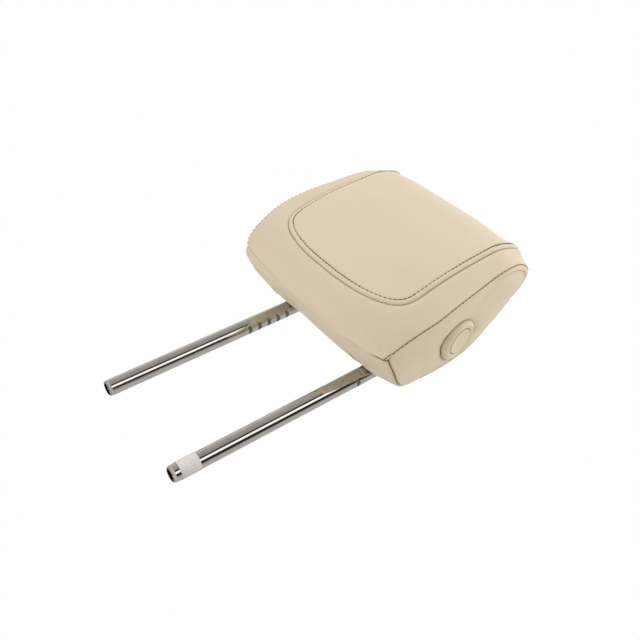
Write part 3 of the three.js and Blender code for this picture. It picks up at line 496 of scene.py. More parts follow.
def ramp(tree, value, low, high, first=0.0, last=1.0):
    inputs = {"Value": value, "From Min": low, "From Max": high, "To Min": first, "To Max": last}
    return add_node(tree, "ShaderNodeMapRange", inputs=inputs).outputs["Result"]


def tinted(tree, share, first, second):
    return add_node(tree, "ShaderNodeMix", props={"data_type": "RGBA"}, inputs={
        0: share, 6: first, 7: second}).outputs[2]


def noise(tree, place, scale, detail=3.0, roughness=0.5):
    inputs = {"Vector": place, "Scale": scale, "Detail": detail, "Roughness": roughness}
    return add_node(tree, "ShaderNodeTexNoise", inputs=inputs).outputs["Fac"]


def attribute(tree, name):
    return add_node(tree, "ShaderNodeAttribute", props={"attribute_name": name}).outputs["Fac"]


def new_group(name, inputs, outputs):
    """A shader node group with named sockets; inputs give their default values."""
    group = bpy.data.node_groups.new(name, "ShaderNodeTree")
    for label, value in inputs.items():
        kind = "NodeSocketVector" if value is None else "NodeSocketFloat"
        socket = group.interface.new_socket(label, in_out="INPUT", socket_type=kind)
        if value is not None:
            socket.default_value = value
    for label in outputs:
        group.interface.new_socket(label, in_out="OUTPUT", socket_type="NodeSocketFloat")
    return group, group.nodes.new("NodeGroupInput"), group.nodes.new("NodeGroupOutput")


def leather_grain_group():
    """Fine pebbled grain: creases between small cells, with pores, and a slow mottle over the hide."""
    group, into, out = new_group(
        "leather_grain", {"Place": None, "Cell": 0.0013, "Stretch": 0.25}, ("Height", "Mottle", "Crease"),
    )
    scale = maths(group, "DIVIDE", 1.0, into.outputs["Cell"])
    warp = add_node(group, "ShaderNodeTexNoise", inputs={
        "Vector": into.outputs["Place"], "Scale": maths(group, "MULTIPLY", scale, 0.45), "Detail": 2.0})
    shifted = add_node(group, "ShaderNodeVectorMath", props={"operation": "MULTIPLY_ADD"}, inputs={
        0: warp.outputs["Color"], 1: (0.0006, 0.0006, 0.0006), 2: into.outputs["Place"]}).outputs[0]
    cells = add_node(group, "ShaderNodeTexVoronoi", props={"feature": "DISTANCE_TO_EDGE"}, inputs={
        "Vector": shifted, "Scale": scale}).outputs["Distance"]
    crease = ramp(group, cells, 0.0, into.outputs["Stretch"], 1.0, 0.0)
    pores = noise(group, shifted, maths(group, "MULTIPLY", scale, 2.6), 2.0)
    mottle = noise(group, into.outputs["Place"], 26.0, 4.0, 0.55)
    creases = maths(group, "MULTIPLY", crease, 0.7)
    height = maths(group, "SUBTRACT", maths(group, "MULTIPLY", pores, 0.35), creases)
    for label, value in (("Height", height), ("Mottle", mottle), ("Crease", crease)):
        group.links.new(value, out.inputs[label])
    return group


def handling_wear_group():
    """Smudges and fine scratches for metal and plastic: a roughness and a scratch height."""
    group, into, out = new_group(
        "handling_wear", {"Place": None, "Smooth": 0.05, "Worn": 0.15}, ("Roughness", "Scratches", "Smudge"),
    )
    smudge = ramp(group, noise(group, into.outputs["Place"], 70.0, 5.0, 0.6), 0.42, 0.68)
    stretched = add_node(group, "ShaderNodeMapping", inputs={
        "Vector": into.outputs["Place"], "Rotation": (0.35, 0.2, 0.0), "Scale": (1.0, 1.0, 0.05)}).outputs[0]
    lines = ramp(group, noise(group, stretched, 2600.0, 2.0), 0.62, 0.72)
    rough = ramp(group, smudge, 0.0, 1.0, into.outputs["Smooth"], into.outputs["Worn"])
    for label, value in (("Roughness", rough), ("Scratches", lines), ("Smudge", smudge)):
        group.links.new(value, out.inputs[label])
    return group


LEATHER_GRAIN = leather_grain_group()
HANDLING_WEAR = handling_wear_group()


def new_material(name):
    material = bpy.data.materials.new(name)
    material.use_nodes = True
    tree = material.node_tree
    shader = tree.nodes["Principled BSDF"]
    place = tree.nodes.new("ShaderNodeTexCoord").outputs["Object"]
    return material, tree, shader, place


def use_group(tree, group, place, **values):
    node = tree.nodes.new("ShaderNodeGroup")
    node.node_tree = group
    tree.links.new(place, node.inputs["Place"])
    for key, value in values.items():
        node.inputs[key.capitalize()].default_value = value
    return node


def add_bump(tree, shader, height, strength, distance):
    inputs = {"Height": height, "Strength": strength, "Distance": distance}
    bump = add_node(tree, "ShaderNodeBump", inputs=inputs)
    tree.links.new(bump.outputs["Normal"], shader.inputs["Normal"])


def cream_leather(name, colour, shadow, roughness, wrinkle):
    """Cream leather; wrinkle is the depth in metres of its soft puckers."""
    material, tree, shader, place = new_material(name)
    grain = use_group(tree, LEATHER_GRAIN, place, cell=0.0013)
    drawn = add_node(tree, "ShaderNodeMapping", inputs={
        "Vector": place, "Rotation": (0.5, 0.0, 0.3), "Scale": (1.0, 1.6, 0.6)}).outputs[0]
    puckers = noise(tree, drawn, 62.0, 3.0, 0.45)
    seam = attribute(tree, "seam_shade")
    mottled = tinted(tree, ramp(tree, grain.outputs["Mottle"], 0.35, 0.7, 0.0, 0.10), colour, shadow)
    creased = tinted(tree, maths(tree, "MULTIPLY", grain.outputs["Crease"], 0.06), mottled, shadow)
    # Painted shade: the seam_shade attribute darkens the colour towards dark brown in the seam grooves and
    # beside the stitches.
    groove_shaded = tinted(tree, seam, creased, (0.060, 0.036, 0.018, 1.0))
    tree.links.new(groove_shaded, shader.inputs["Base Color"])
    polish = ramp(tree, grain.outputs["Mottle"], 0.3, 0.7, roughness - 0.04, roughness + 0.05)
    tree.links.new(polish, shader.inputs["Roughness"])
    shader.inputs["Specular IOR Level"].default_value = 0.4
    shader.inputs["Sheen Weight"].default_value = 0.08
    shader.inputs["Sheen Roughness"].default_value = 0.5
    soft = add_node(tree, "ShaderNodeBump", inputs={"Height": puckers, "Strength": 1.0, "Distance": wrinkle})
    fine = add_node(tree, "ShaderNodeBump", inputs={
        "Height": grain.outputs["Height"], "Strength": 0.25, "Distance": 0.00009,
        "Normal": soft.outputs["Normal"]})
    tree.links.new(fine.outputs["Normal"], shader.inputs["Normal"])
    return material


def metal(name, colour, smooth, worn, scratch=0.05):
    material, tree, shader, place = new_material(name)
    wear = use_group(tree, HANDLING_WEAR, place, smooth=smooth, worn=worn)
    dull = tuple(0.88 * c for c in colour[:3]) + (1.0,)
    tree.links.new(tinted(tree, wear.outputs["Smudge"], colour, dull), shader.inputs["Base Color"])
    tree.links.new(wear.outputs["Roughness"], shader.inputs["Roughness"])
    shader.inputs["Metallic"].default_value = 1.0
    add_bump(tree, shader, wear.outputs["Scratches"], scratch, 0.00002)
    return material


def moulded_plastic(name, colour, shadow, smooth, worn, grain_size):
    material, tree, shader, place = new_material(name)
    wear = use_group(tree, HANDLING_WEAR, place, smooth=smooth, worn=worn)
    grain = noise(tree, place, 1.0 / grain_size, 3.0, 0.6)
    speckled = tinted(tree, ramp(tree, grain, 0.35, 0.7, 0.0, 0.35), colour, shadow)
    tree.links.new(speckled, shader.inputs["Base Color"])
    tree.links.new(wear.outputs["Roughness"], shader.inputs["Roughness"])
    shader.inputs["Specular IOR Level"].default_value = 0.45
    add_bump(tree, shader, grain, 0.25, 0.00008)
    return material


def band_paper():
    material, tree, shader, place = new_material("band_paper")
    fibres = add_node(tree, "ShaderNodeMapping", inputs={
        "Vector": place, "Scale": (1.0, 1.0, 0.3)}).outputs[0]
    fleck = noise(tree, fibres, 1500.0, 4.0, 0.6)
    soil = ramp(tree, noise(tree, place, 90.0, 3.0), 0.4, 0.75, 0.0, 0.5)
    base = tinted(tree, ramp(tree, fleck, 0.3, 0.7), (0.64, 0.62, 0.60, 1), (0.63, 0.61, 0.59, 1))
    tree.links.new(tinted(tree, soil, base, (0.60, 0.57, 0.53, 1)), shader.inputs["Base Color"])
    tree.links.new(ramp(tree, fleck, 0.3, 0.7, 0.62, 0.82), shader.inputs["Roughness"])
    return material


def moulded_foam():
    material, tree, shader, place = new_material("moulded_foam")
    pores = add_node(tree, "ShaderNodeTexVoronoi", inputs={
        "Vector": place, "Scale": 900.0}).outputs["Distance"]
    tree.links.new(
        tinted(tree, ramp(tree, pores, 0.1, 0.6), (0.06, 0.06, 0.065, 1), (0.14, 0.14, 0.15, 1)),
        shader.inputs["Base Color"])
    tree.links.new(ramp(tree, pores, 0.0, 1.0, 0.95, 0.8), shader.inputs["Roughness"])
    add_bump(tree, shader, pores, 0.6, 0.0004)
    return material


def brown_thread():
    """Waxed thread: a twist runs along each stitch, read from the stitch's own attribute."""
    material, tree, shader, place = new_material("brown_thread")
    along, around = attribute(tree, "stitch_along"), attribute(tree, "stitch_around")
    twist = maths(tree, "MULTIPLY_ADD", along, 5.0, around)
    strand = maths(tree, "ABSOLUTE", maths(tree, "SINE", maths(tree, "MULTIPLY", twist, 2 * math.pi)))
    colour = tinted(tree, strand, (0.090, 0.045, 0.028, 1), (0.21, 0.115, 0.07, 1))
    fade = ramp(tree, noise(tree, place, 160.0), 0.35, 0.7, 0.0, 0.3)
    tree.links.new(tinted(tree, fade, colour, (0.30, 0.19, 0.12, 1)), shader.inputs["Base Color"])
    tree.links.new(ramp(tree, strand, 0.0, 1.0, 0.7, 0.5), shader.inputs["Roughness"])
    add_bump(tree, shader, strand, 0.5, 0.0001)
    return material


LEATHER_CENTRE = cream_leather(
    "cream_leather_centre", (0.735, 0.640, 0.490, 1), (0.62, 0.51, 0.36, 1), 0.50, 0.0002)
LEATHER_SURROUND = cream_leather(
    "cream_leather_surround", (0.715, 0.615, 0.455, 1), (0.60, 0.49, 0.34, 1), 0.48, 0.0006)
LEATHER_SIDE = cream_leather(
    "cream_leather_side", (0.70, 0.605, 0.445, 1), (0.58, 0.48, 0.33, 1), 0.50, 0.0014)
CHROME = metal("bright_chrome", (0.56, 0.545, 0.52, 1), 0.02, 0.04, 0.0)
# The notch faces are milled steel made near-black: painted shade in the notches.
SHADED_NOTCH_STEEL = metal("milled_notch_steel_shaded", (0.16, 0.15, 0.14, 1), 0.25, 0.40, 0.2)
BARE_STEEL = metal("zinc_plated_steel", (0.50, 0.51, 0.52, 1), 0.28, 0.42, 0.2)
BLACK_PLASTIC = moulded_plastic(
    "black_plastic", (0.022, 0.023, 0.025, 1), (0.010, 0.010, 0.011, 1), 0.42, 0.58, 0.0009)
BEIGE_PLASTIC = moulded_plastic(
    "beige_plastic", (0.71, 0.61, 0.44, 1), (0.62, 0.53, 0.37, 1), 0.38, 0.50, 0.0007)
BAND_PAPER = band_paper()
MOULDED_FOAM = moulded_foam()
BROWN_THREAD = brown_thread()


# Camera, light and floor

def place_camera():
    data = bpy.data.cameras.new("photo_camera")
    data.lens = CAMERA_LENS
    data.sensor_width = 36
    data.clip_start = 0.01
    data.clip_end = 20
    camera = linked("photo_camera", data)
    axes = (Vector(CAMERA_RIGHT), -Vector(CAMERA_DOWN), -Vector(CAMERA_AHEAD))
    camera.matrix_world = Matrix.Translation(CAMERA_PLACE) @ Matrix(axes).transposed().to_4x4()
    bpy.context.scene.camera = camera


def studio_world():
    """White to the camera; round the object a soft studio with two darker walls for the chrome to show."""
    world = bpy.data.worlds.new("studio")
    world.use_nodes = True
    tree = world.node_tree
    way = add_node(tree, "ShaderNodeSeparateXYZ", inputs={
        0: tree.nodes.new("ShaderNodeTexCoord").outputs["Generated"]})
    turn = maths(tree, "ARCTAN2", way.outputs["Y"], way.outputs["X"])
    degrees = maths(tree, "MULTIPLY", turn, 180 / math.pi)
    walls = tree.nodes.new("ShaderNodeValToRGB")
    tree.links.new(ramp(tree, degrees, -180.0, 180.0), walls.inputs["Fac"])
    stops = [
        (-180, 1.10), (-154, 0.92), (-134, 0.71), (-117, 0.63), (-101, 0.59), (-87, 0.55), (-76, 0.42),
        (-68, 0.04), (-56, 0.04), (-53, 2.2), (-35, 2.2), (-28, 0.6), (-24, 0.03), (-3, 0.03), (6, 0.29),
        (17, 0.80), (40, 0.82), (87, 0.80), (130, 0.95), (180, 1.10),
    ]
    elements = walls.color_ramp.elements
    while len(elements) < len(stops):
        elements.new(0.5)
    for element, (angle, level) in zip(elements, stops):
        element.position = (angle + 180) / 360
        element.color = (level, level * 0.97, level * 0.92, 1)
    path = tree.nodes.new("ShaderNodeLightPath")
    across = ramp(tree, way.outputs["X"], -1.0, 1.0)
    soft = tinted(tree, across, (1.02, 1.005, 0.98, 1), (0.27, 0.26, 0.25, 1))
    band = ramp(tree, maths(tree, "ABSOLUTE", maths(tree, "SUBTRACT", way.outputs["Z"], 0.36)), 0.28, 0.38)
    mirrored = tinted(tree, band, walls.outputs["Color"], (0.85, 0.84, 0.82, 1))
    dome = tinted(tree, path.outputs["Is Glossy Ray"], soft, mirrored)
    lit = add_node(tree, "ShaderNodeBackground", inputs={"Color": dome, "Strength": 0.85})
    seen = add_node(tree, "ShaderNodeBackground", inputs={"Color": (1, 1, 1, 1), "Strength": 1.0})
    pick = add_node(tree, "ShaderNodeMixShader", inputs={
        0: path.outputs["Is Camera Ray"],
        1: lit.outputs[0], 2: seen.outputs[0]})
    tree.links.new(pick.outputs[0], tree.nodes["World Output"].inputs["Surface"])
    bpy.context.scene.world = world
    bpy.context.scene.view_settings.view_transform = "Standard"


def soft_light(name, place, aim, size, power, colour=(1, 1, 1)):
    data = bpy.data.lights.new(name, "AREA")
    data.shape = "RECTANGLE"
    data.size, data.size_y = size
    data.energy = power
    data.color = colour
    light = linked(name, data)
    light.location = place
    light.visible_glossy = False
    light.rotation_euler = (Vector(aim) - Vector(place)).to_track_quat("-Z", "Y").to_euler()


def pale_floor():
    """A floor at the posts' lower ends, seen only from above, because the photograph looks up past it."""
    material = bpy.data.materials.new("pale_floor")
    material.use_nodes = True
    tree = material.node_tree
    shader = tree.nodes["Principled BSDF"]
    shader.inputs["Base Color"].default_value = (0.72, 0.71, 0.70, 1)
    shader.inputs["Roughness"].default_value = 0.9
    behind = tree.nodes.new("ShaderNodeNewGeometry").outputs["Backfacing"]
    clear = tree.nodes.new("ShaderNodeBsdfTransparent").outputs[0]
    pick = add_node(tree, "ShaderNodeMixShader", inputs={0: behind, 1: shader.outputs[0], 2: clear})
    tree.links.new(pick.outputs[0], tree.nodes["Material Output"].inputs["Surface"])
    reach = 2500
    points = [(-reach, -reach, -0.5), (reach, -reach, -0.5), (reach, reach, -0.5), (-reach, reach, -0.5)]
    new_piece("floor", points, [(0, 1, 2, 3)], material)


place_camera()
studio_world()
soft_light("key_softbox", (-0.02, -1.20, 1.40), (0, -0.05, 0.28), (1.4, 1.2), 16.0, (1.0, 0.99, 0.97))
soft_light("top_softbox", (0.62, 0.14, 0.88), (0.08, -0.05, 0.28), (0.8, 0.8), 4.6)
soft_light("table_bounce", (-0.12, -0.14, 0.002), (-0.12, -0.14, 0.20), (0.45, 0.25), 0.18, (1.0, 0.99, 0.98))
pale_floor()


# Padding: each panel's coarse grid is puffed out as cloth held at its seams

def puffed(name, start, normals, held):
    """Blows the grid out as cloth, pinned where held is 1, and returns how far each point moved."""
    rows, columns = start.shape[:2]
    faces = grid_faces(rows, columns)
    middle = (rows // 2, columns // 2)
    corners = [start[middle[0] + i, middle[1] + j] for i, j in ((0, 0), (0, 1), (1, 1), (1, 0))]
    if np.cross(corners[2] - corners[0], corners[3] - corners[1]) @ normals[middle] < 0:
        faces = [face[::-1] for face in faces]
    mesh = bpy.data.meshes.new(name)
    mesh.from_pydata((start.reshape(-1, 3) * MM).tolist(), [], faces)
    mesh.update()
    cloth_piece = linked(name, mesh)
    pins = cloth_piece.vertex_groups.new(name="held")
    for k, weight in enumerate(held.reshape(-1)):
        pins.add([k], float(weight), "REPLACE")
    cloth = cloth_piece.modifiers.new("padding", "CLOTH")
    settings = cloth.settings
    settings.quality = 6
    settings.mass = 0.3
    settings.tension_stiffness = settings.compression_stiffness = 5
    settings.shear_stiffness = 2
    settings.bending_stiffness = 0.5
    settings.use_pressure = True
    settings.uniform_pressure_force = PADDING_PRESSURE
    settings.vertex_group_mass = "held"
    settings.effector_weights.gravity = 0
    cloth.collision_settings.use_collision = False
    cloth.collision_settings.use_self_collision = False
    scene = bpy.context.scene
    for step in range(1, PADDING_STEPS + 1):
        scene.frame_set(step)
    evaluated = cloth_piece.evaluated_get(bpy.context.evaluated_depsgraph_get())
    after = np.empty(rows * columns * 3, np.float32)
    evaluated.data.vertices.foreach_get("co", after)
    scene.frame_set(1)
    bpy.data.objects.remove(cloth_piece)
    moved = after.reshape(rows, columns, 3) / MM - start
    length = np.linalg.norm(moved, axis=-1, keepdims=True)
    return moved * np.minimum(1, PUFF_CAP / np.maximum(length, 1e-6))


def spread(coarse, rows_at, columns_at):
    """Values of a coarse grid at fractional rows and columns, on smooth curves through its points."""
    def weights(at, count):
        start = np.clip(np.floor(at).astype(int), 0, count - 2)
        s = at - start
        terms = [(-s + 2 * s**2 - s**3) / 2, (2 - 5 * s**2 + 3 * s**3) / 2,
                 (s + 4 * s**2 - 3 * s**3) / 2, (s**3 - s**2) / 2]
        return [(np.clip(start + k - 1, 0, count - 1), term) for k, term in enumerate(terms)]
    total = 0
    for i, wi in weights(rows_at, coarse.shape[0]):
        for j, wj in weights(columns_at, coarse.shape[1]):
            total = total + coarse[i, j] * (wi * wj)[..., None]
    return total


def padded_move(name, place, rows_at, columns_at, coarse_shape):
    """How far the padding moves each fine grid point; place(row share, column share) gives (s, v)."""
    rows, columns = coarse_shape
    i, j = np.meshgrid(np.linspace(0, 1, rows), np.linspace(0, 1, columns), indexing="ij")
    points, normals = skin_with_normal(*place(i, j))
    rim = np.zeros((rows, columns))
    rim[[0, -1], :] = 1
    rim[:, [0, -1]] = 1
    inside = np.minimum(np.minimum(i, 1 - i) * (rows - 1), np.minimum(j, 1 - j) * (columns - 1))
    sink = PUFF_SINK * eased(0, 4, inside)[..., None] * normals
    moved = puffed(name, points - sink, normals, rim) - sink
    return spread(moved, rows_at * (rows - 1), columns_at * (columns - 1))


SEAM_LINES = np.array([0, 0.25, 0.6, 1.0, 1.5, 2.1, 2.8, 3.6, 4.4, 5.0, 5.6, 6.3, 7.3, 8.8, 11.0])


def across_lines(length, middle, near=SEAM_LINES, far=SEAM_LINES):
    """Shares across a strip: close together at both seams, even between; one row for each length."""
    length = np.asarray(length, float)[..., None]
    first, last = near / length, 1 - far[::-1] / length
    share = np.linspace(0, 1, middle + 2)[1:-1]
    between = first[..., -1:] + (last[..., :1] - first[..., -1:]) * share
    return np.concatenate([first, between, last], -1)


def finish_panel(name, s, v, relief, shade, moved, material, wrap=False, hub=False):
    points, normals = skin_with_normal(s, v)
    outer = points + normals * (relief + fullness(s, v))[..., None] + moved
    inner = points - normals * BACKING
    return closed_sheet(name, outer, inner, shade, material, wrap, hub)


def centre_panel():
    """The panel the head rests on, closed below by a rounded curve."""
    top_rows = 58

    def place(rows_at, columns_at):
        a = 2 * columns_at - 1
        b = rows_at * 2 - 1
        low = b < 0
        depth = np.minimum(b, 0)
        reach = np.maximum(np.abs(a), np.abs(depth))
        safe = np.maximum(reach, 1e-9)
        steep = np.abs(depth) >= np.abs(a)
        flat_angle = np.sign(a) * (math.pi / 2 - math.pi / 4 * np.abs(depth) / safe)
        angle = np.where(steep, math.pi / 4 * a / safe, flat_angle)
        share = np.where(low, reach * seam_across(angle), a)
        high_v = CENTRE_SHOULDER + (TOP_SEAM - CENTRE_SHOULDER) * b
        v = np.where(low, CENTRE_SHOULDER - reach * seam_down(angle), high_v)
        return share * seam_half_width(v), v

    columns = across_lines(2 * CENTRE_HALF_WIDTH, 56)
    low_rows = across_lines(46.0, 12, near=SEAM_LINES, far=np.array([0.0]))
    high_rows = across_lines(165.0, top_rows, near=np.array([0.0]), far=SEAM_LINES[:9])[1:]
    rows = np.concatenate([low_rows / 2, 0.5 + high_rows / 2])
    rows_at, columns_at = np.meshgrid(rows, columns, indexing="ij")
    s, v = place(rows_at, columns_at)
    points = skin(s, v)
    away = distance_to_centre_seam(points)
    top_away = (TOP_SEAM - v) * TOP_ROW_PITCH
    relief = (
        dip(away, 1.8, 2.7) + hump(away - 3.0, 0.5, 1.3) + hump(away - CENTRE_STITCH_INSET, -0.5, 0.8)
        + dip(top_away, 1.2, 2.5)
    )
    # Painted shade in the seam grooves and in the valley along the stitches.
    shade = groove_shade(away, 0.5) + 0.15 * groove_shade(away - CENTRE_STITCH_INSET, 2.0, 0.7)
    shade = np.clip(shade + groove_shade(top_away, 0.2), 0, 1)
    moved = padded_move("centre_padding", place, rows_at, columns_at, (44, 37))
    return finish_panel("centre_panel", s, v, relief, shade, moved, LEATHER_CENTRE)


def surround_panel():
    """The U-shaped panel round the centre, from its seam to the bottom seam and over both side edges."""
    bottom, rise, arm = 46, 28, 62
    turns = np.concatenate([
        np.linspace(0, 1, bottom, endpoint=False), np.linspace(1, 2, rise, endpoint=False),
        np.linspace(2, 3, arm)])
    turns = np.concatenate([-turns[:0:-1], turns])

    def ends(turn):
        way = np.abs(turn)
        angle = np.where(
            way < 1, way * SURROUND_CORNER,
            SURROUND_CORNER + (math.pi / 2 - SURROUND_CORNER) * np.clip(way - 1, 0, 1))
        up = CENTRE_SHOULDER + (TOP_SEAM - CENTRE_SHOULDER) * np.clip(way - 2, 0, 1)
        inner_v = np.where(way < 2, CENTRE_SHOULDER - seam_down(angle), up)
        inner_s = seam_across(angle) * seam_half_width(inner_v)
        outer_v = np.where(way < 1, 0.0, np.where(way < 2, CENTRE_SHOULDER * (way - 1), up))
        edge = half_width(outer_v) + seam_overlap(outer_v)
        corner_s = edge * np.sin(np.minimum(angle, SURROUND_CORNER)) / math.sin(SURROUND_CORNER)
        outer_s = np.where(way < 1, corner_s, edge)
        sign = np.where(turn < 0, -1, 1)
        return sign * inner_s, inner_v, sign * outer_s, outer_v

    def place(rows_at, columns_at):
        inner_s, inner_v, outer_s, outer_v = ends(rows_at * 6 - 3)
        return inner_s + (outer_s - inner_s) * columns_at, inner_v + (outer_v - inner_v) * columns_at

    rows = (turns + 3) / 6
    inner_s, inner_v, outer_s, outer_v = ends(turns)
    length = np.linalg.norm(skin(outer_s, outer_v) - skin(inner_s, inner_v), axis=-1)
    columns_at = across_lines(length, 12, near=SEAM_LINES[:9])
    rows_at = np.broadcast_to(rows[:, None], columns_at.shape)
    s, v = place(rows_at, columns_at)
    points = skin(s, v)
    away = distance_to_centre_seam(points)
    t = np.abs(s) - half_width(v)
    up = np.clip(v, 0, None) * BOTTOM_ROW_PITCH
    bottom_depth = bottom_groove_depth(s)
    top_away = (TOP_SEAM - v) * TOP_ROW_PITCH
    relief = (
        dip(away, 1.8, 4.2) + side_edge_relief(t, v) + dip(up, bottom_depth, 2.2) + dip(top_away, 1.2, 2.5)
    )
    # Painted shade in the seam grooves and along the stitched edge, darkest in the side seam under the front
    # corner.
    shade = groove_shade(away, 0.5) + groove_shade(t - seam_overlap(v), side_seam_shade_depth(v))
    shade = shade + groove_shade(up, bottom_depth, 1.0) + 0.2 * groove_shade(t, 2.0, 0.6)
    shade = np.clip(shade + groove_shade(top_away, 0.2), 0, 1)
    moved = padded_move("surround_padding", place, rows_at, columns_at, (97, 9))
    return finish_panel("surround_panel", s, v, relief, shade, moved, LEATHER_SURROUND)


def slot_roll(points):
    """The leather turned in round the posts' slots."""
    past = np.hypot(
        np.abs(points[..., 0]) - POST_X, points[..., 1] - np.clip(points[..., 1], SLOT_FRONT_Y, SLOT_REAR_Y))
    return dip(past - SLOT_RADIUS + 0.4, 1.0, 2.6)


def wide_panel(name, low, high, rows_middle, material, padding):
    """A panel across the whole width between two stations: the back or the underside."""
    length = 2 * (half_width(np.array(low + high) / 2) + 4.5)

    def place(rows_at, columns_at):
        v = low + (high - low) * rows_at
        return (2 * columns_at - 1) * (half_width(v) + seam_overlap(v)), v

    columns = across_lines(length, 50, near=SEAM_LINES[:12], far=SEAM_LINES[:12])
    rows = across_lines((high - low) * 28, rows_middle, near=SEAM_LINES[:8], far=SEAM_LINES[:8])
    rows_at, columns_at = np.meshgrid(rows, columns, indexing="ij")
    s, v = place(rows_at, columns_at)
    t = np.abs(s) - half_width(v)
    start_away, end_away = (v - low) * REAR_ROW_PITCH, (high - v) * REAR_ROW_PITCH
    end_depth = bottom_groove_depth(s) if high == ROWS else np.full_like(s, 1.2)
    relief = side_edge_relief(t, v) + dip(start_away, 1.2, 2.4) + dip(end_away, end_depth, 2.4)
    # Painted shade in the seam grooves.
    shade = groove_shade(t - seam_overlap(v), side_seam_shade_depth(v), 1.1) + groove_shade(start_away, 0.2)
    shade = np.clip(shade + groove_shade(end_away, end_depth - (0 if high == ROWS else 1.0), 1.0), 0, 1)
    if high == ROWS:
        relief = relief + slot_roll(skin(s, v))
    moved = padded_move(name + "_padding", place, rows_at, columns_at, padding)
    return finish_panel(name, s, v, relief, shade, moved, material)


def side_panel(name, side):
    """A side of the cushion; the right one ends under the button's ring."""
    around = np.arange(ROWS * 9) / 9
    edge = section(around)
    reach = np.hypot(edge[:, 1] - BUTTON_Y, edge[:, 2] - BUTTON_Z)
    hole = RING_RADIUS - 0.6 if side > 0 else FAR_SIDE_HOLE
    overlap = seam_overlap(around)
    length = reach - overlap - hole
    share = across_lines(length, 12, near=SEAM_LINES[:11], far=SEAM_LINES[[0, 3, 6, 9, 12]])
    t = (overlap[:, None] + share * length[:, None]).T
    v = np.broadcast_to(around[None], t.shape)
    s = side * (half_width(v) + t)
    relief = side_edge_relief(t, v)
    from_centre = np.broadcast_to(reach[None], t.shape) - t
    if side > 0:
        relief = relief + hump(from_centre - RING_RADIUS + 1, -0.9, 2.4)
    # Painted shade in the side seam's groove.
    shade = np.clip(groove_shade(t - overlap, side_seam_shade_depth(v), 1.0), 0, 1)
    if side > 0:
        # Painted shadow round the foot of the button's ring, on its lower front side.
        points = skin(s, v)
        below = (BUTTON_Y - points[..., 1]) * 0.6 + (BUTTON_Z - points[..., 2]) * 0.8
        foot_shadow = eased(-8, 18, below) * groove_shade(from_centre - RING_RADIUS + 0.2, 2.0, 1.3)
        shade = np.clip(shade + foot_shadow, 0, 1)
    swell = eased(0, 16, t - overlap) * eased(0, 12, from_centre - (RING_RADIUS if side > 0 else -20))
    moved = np.zeros(t.shape + (3,))
    moved[..., 0] = side * 0.8 * swell
    return finish_panel(name, s, v, relief, shade, moved, LEATHER_SIDE, wrap=True, hub=side < 0)


def cut_out(piece, cutter):
    """Cuts the cutter's shape out of the piece, and deletes the cutter."""
    cut = piece.modifiers.new("cut", "BOOLEAN")
    cut.operation = "DIFFERENCE"
    cut.solver = "EXACT"
    cut.material_mode = "TRANSFER"
    cut.object = cutter
    apply_modifiers(piece)
    bpy.data.objects.remove(cutter)


def stadium(radius, count=20):
    """The outline of a post's slot, as rows of (x, y) round the left or right post's own X."""
    def half_turn(y, start):
        angles = np.linspace(start, start + math.pi, count)
        return [(radius * math.cos(a), y + radius * math.sin(a)) for a in angles]
    sides = [(radius, y) for y in np.linspace(SLOT_FRONT_Y, SLOT_REAR_Y, 8)[1:-1]]
    far_side = [(-x, y) for x, y in reversed(sides)]
    return half_turn(SLOT_FRONT_Y, math.pi) + sides + half_turn(SLOT_REAR_Y, 0) + far_side


def prism(name, outline, low, high, material):
    points = [(x, y, z) for z in (low, high) for x, y in outline]
    return new_piece(name, points, prism_faces(len(outline)), material)


def slot_trim(name, side, tree):
    """The moulded collar clipped into a slot, following the underside."""
    lip = [(9.4, -9.0), (8.9, -7.5), (8.9, -3.2), (9.1, -2.7), (9.9, -2.5), (9.9, -9.0)]
    rings = []
    for radius, rise in lip:
        ring = []
        for x, y in stadium(radius):
            hit = tree.ray_cast(Vector((side * POST_X + x, y, 100)) * MM, Vector((0, 0, 1)))[0]
            level = hit.z / MM if hit else 200
            ring.append((side * POST_X + x, y, level - rise))
        rings.append(ring)
    points = np.array([p for ring in rings for p in ring])
    faces = looped_faces(len(rings), len(rings[0]))
    return new_piece(name, points, outward(points, faces), BEIGE_PLASTIC, sharp_angle=50)


def slot_gusset(name, side, tree):
    """The pleated leather that closes a slot ahead of its post."""
    rows = np.linspace(SLOT_FRONT_Y - SLOT_RADIUS + 0.3, -9.7, 49)
    front = np.minimum(rows - SLOT_FRONT_Y, 0)
    wide = np.sqrt(np.maximum((SLOT_RADIUS + 0.3) ** 2 - front**2, 0.2))
    across = np.linspace(-1, 1, 13)
    outer = np.empty((len(rows), len(across), 3))
    for i, y in enumerate(rows):
        pleat = 0.35 * math.cos((y - rows[0]) * 2 * math.pi / 4.0)
        for j, share in enumerate(across):
            x = side * POST_X + share * wide[i]
            hit = tree.ray_cast(Vector((x, y, 100)) * MM, Vector((0, 0, 1)))[0]
            outer[i, j] = (x, y, (hit.z / MM if hit else 195) + 1.3 + pleat)
    inner = outer + (0, 0, 1.0)
    return closed_sheet(name, outer, inner, np.zeros(outer.shape[:2]), LEATHER_SIDE)


def underside_panel():
    panel = wide_panel("underside_panel", UNDERSIDE_SEAM, float(ROWS), 34, LEATHER_SIDE, (15, 33))
    mesh = panel.data
    uncut = BVHTree.FromPolygons([v.co for v in mesh.vertices], [p.vertices for p in mesh.polygons])
    for side in (-1, 1):
        outline = [(side * POST_X + x, y) for x, y in stadium(SLOT_RADIUS - 0.4)]
        cut_out(panel, prism("slot_cutter", outline, 160, 262, LEATHER_SIDE))
    panel.data.set_sharp_from_angle(angle=math.radians(40))
    trims = [slot_trim("slot_trim_left", -1, uncut), slot_trim("slot_trim_right", 1, uncut)]
    gussets = [slot_gusset("slot_gusset_left", -1, uncut), slot_gusset("slot_gusset_right", 1, uncut)]
    return panel, trims, gussets


# Stitches, by geometry nodes along a line on the leather

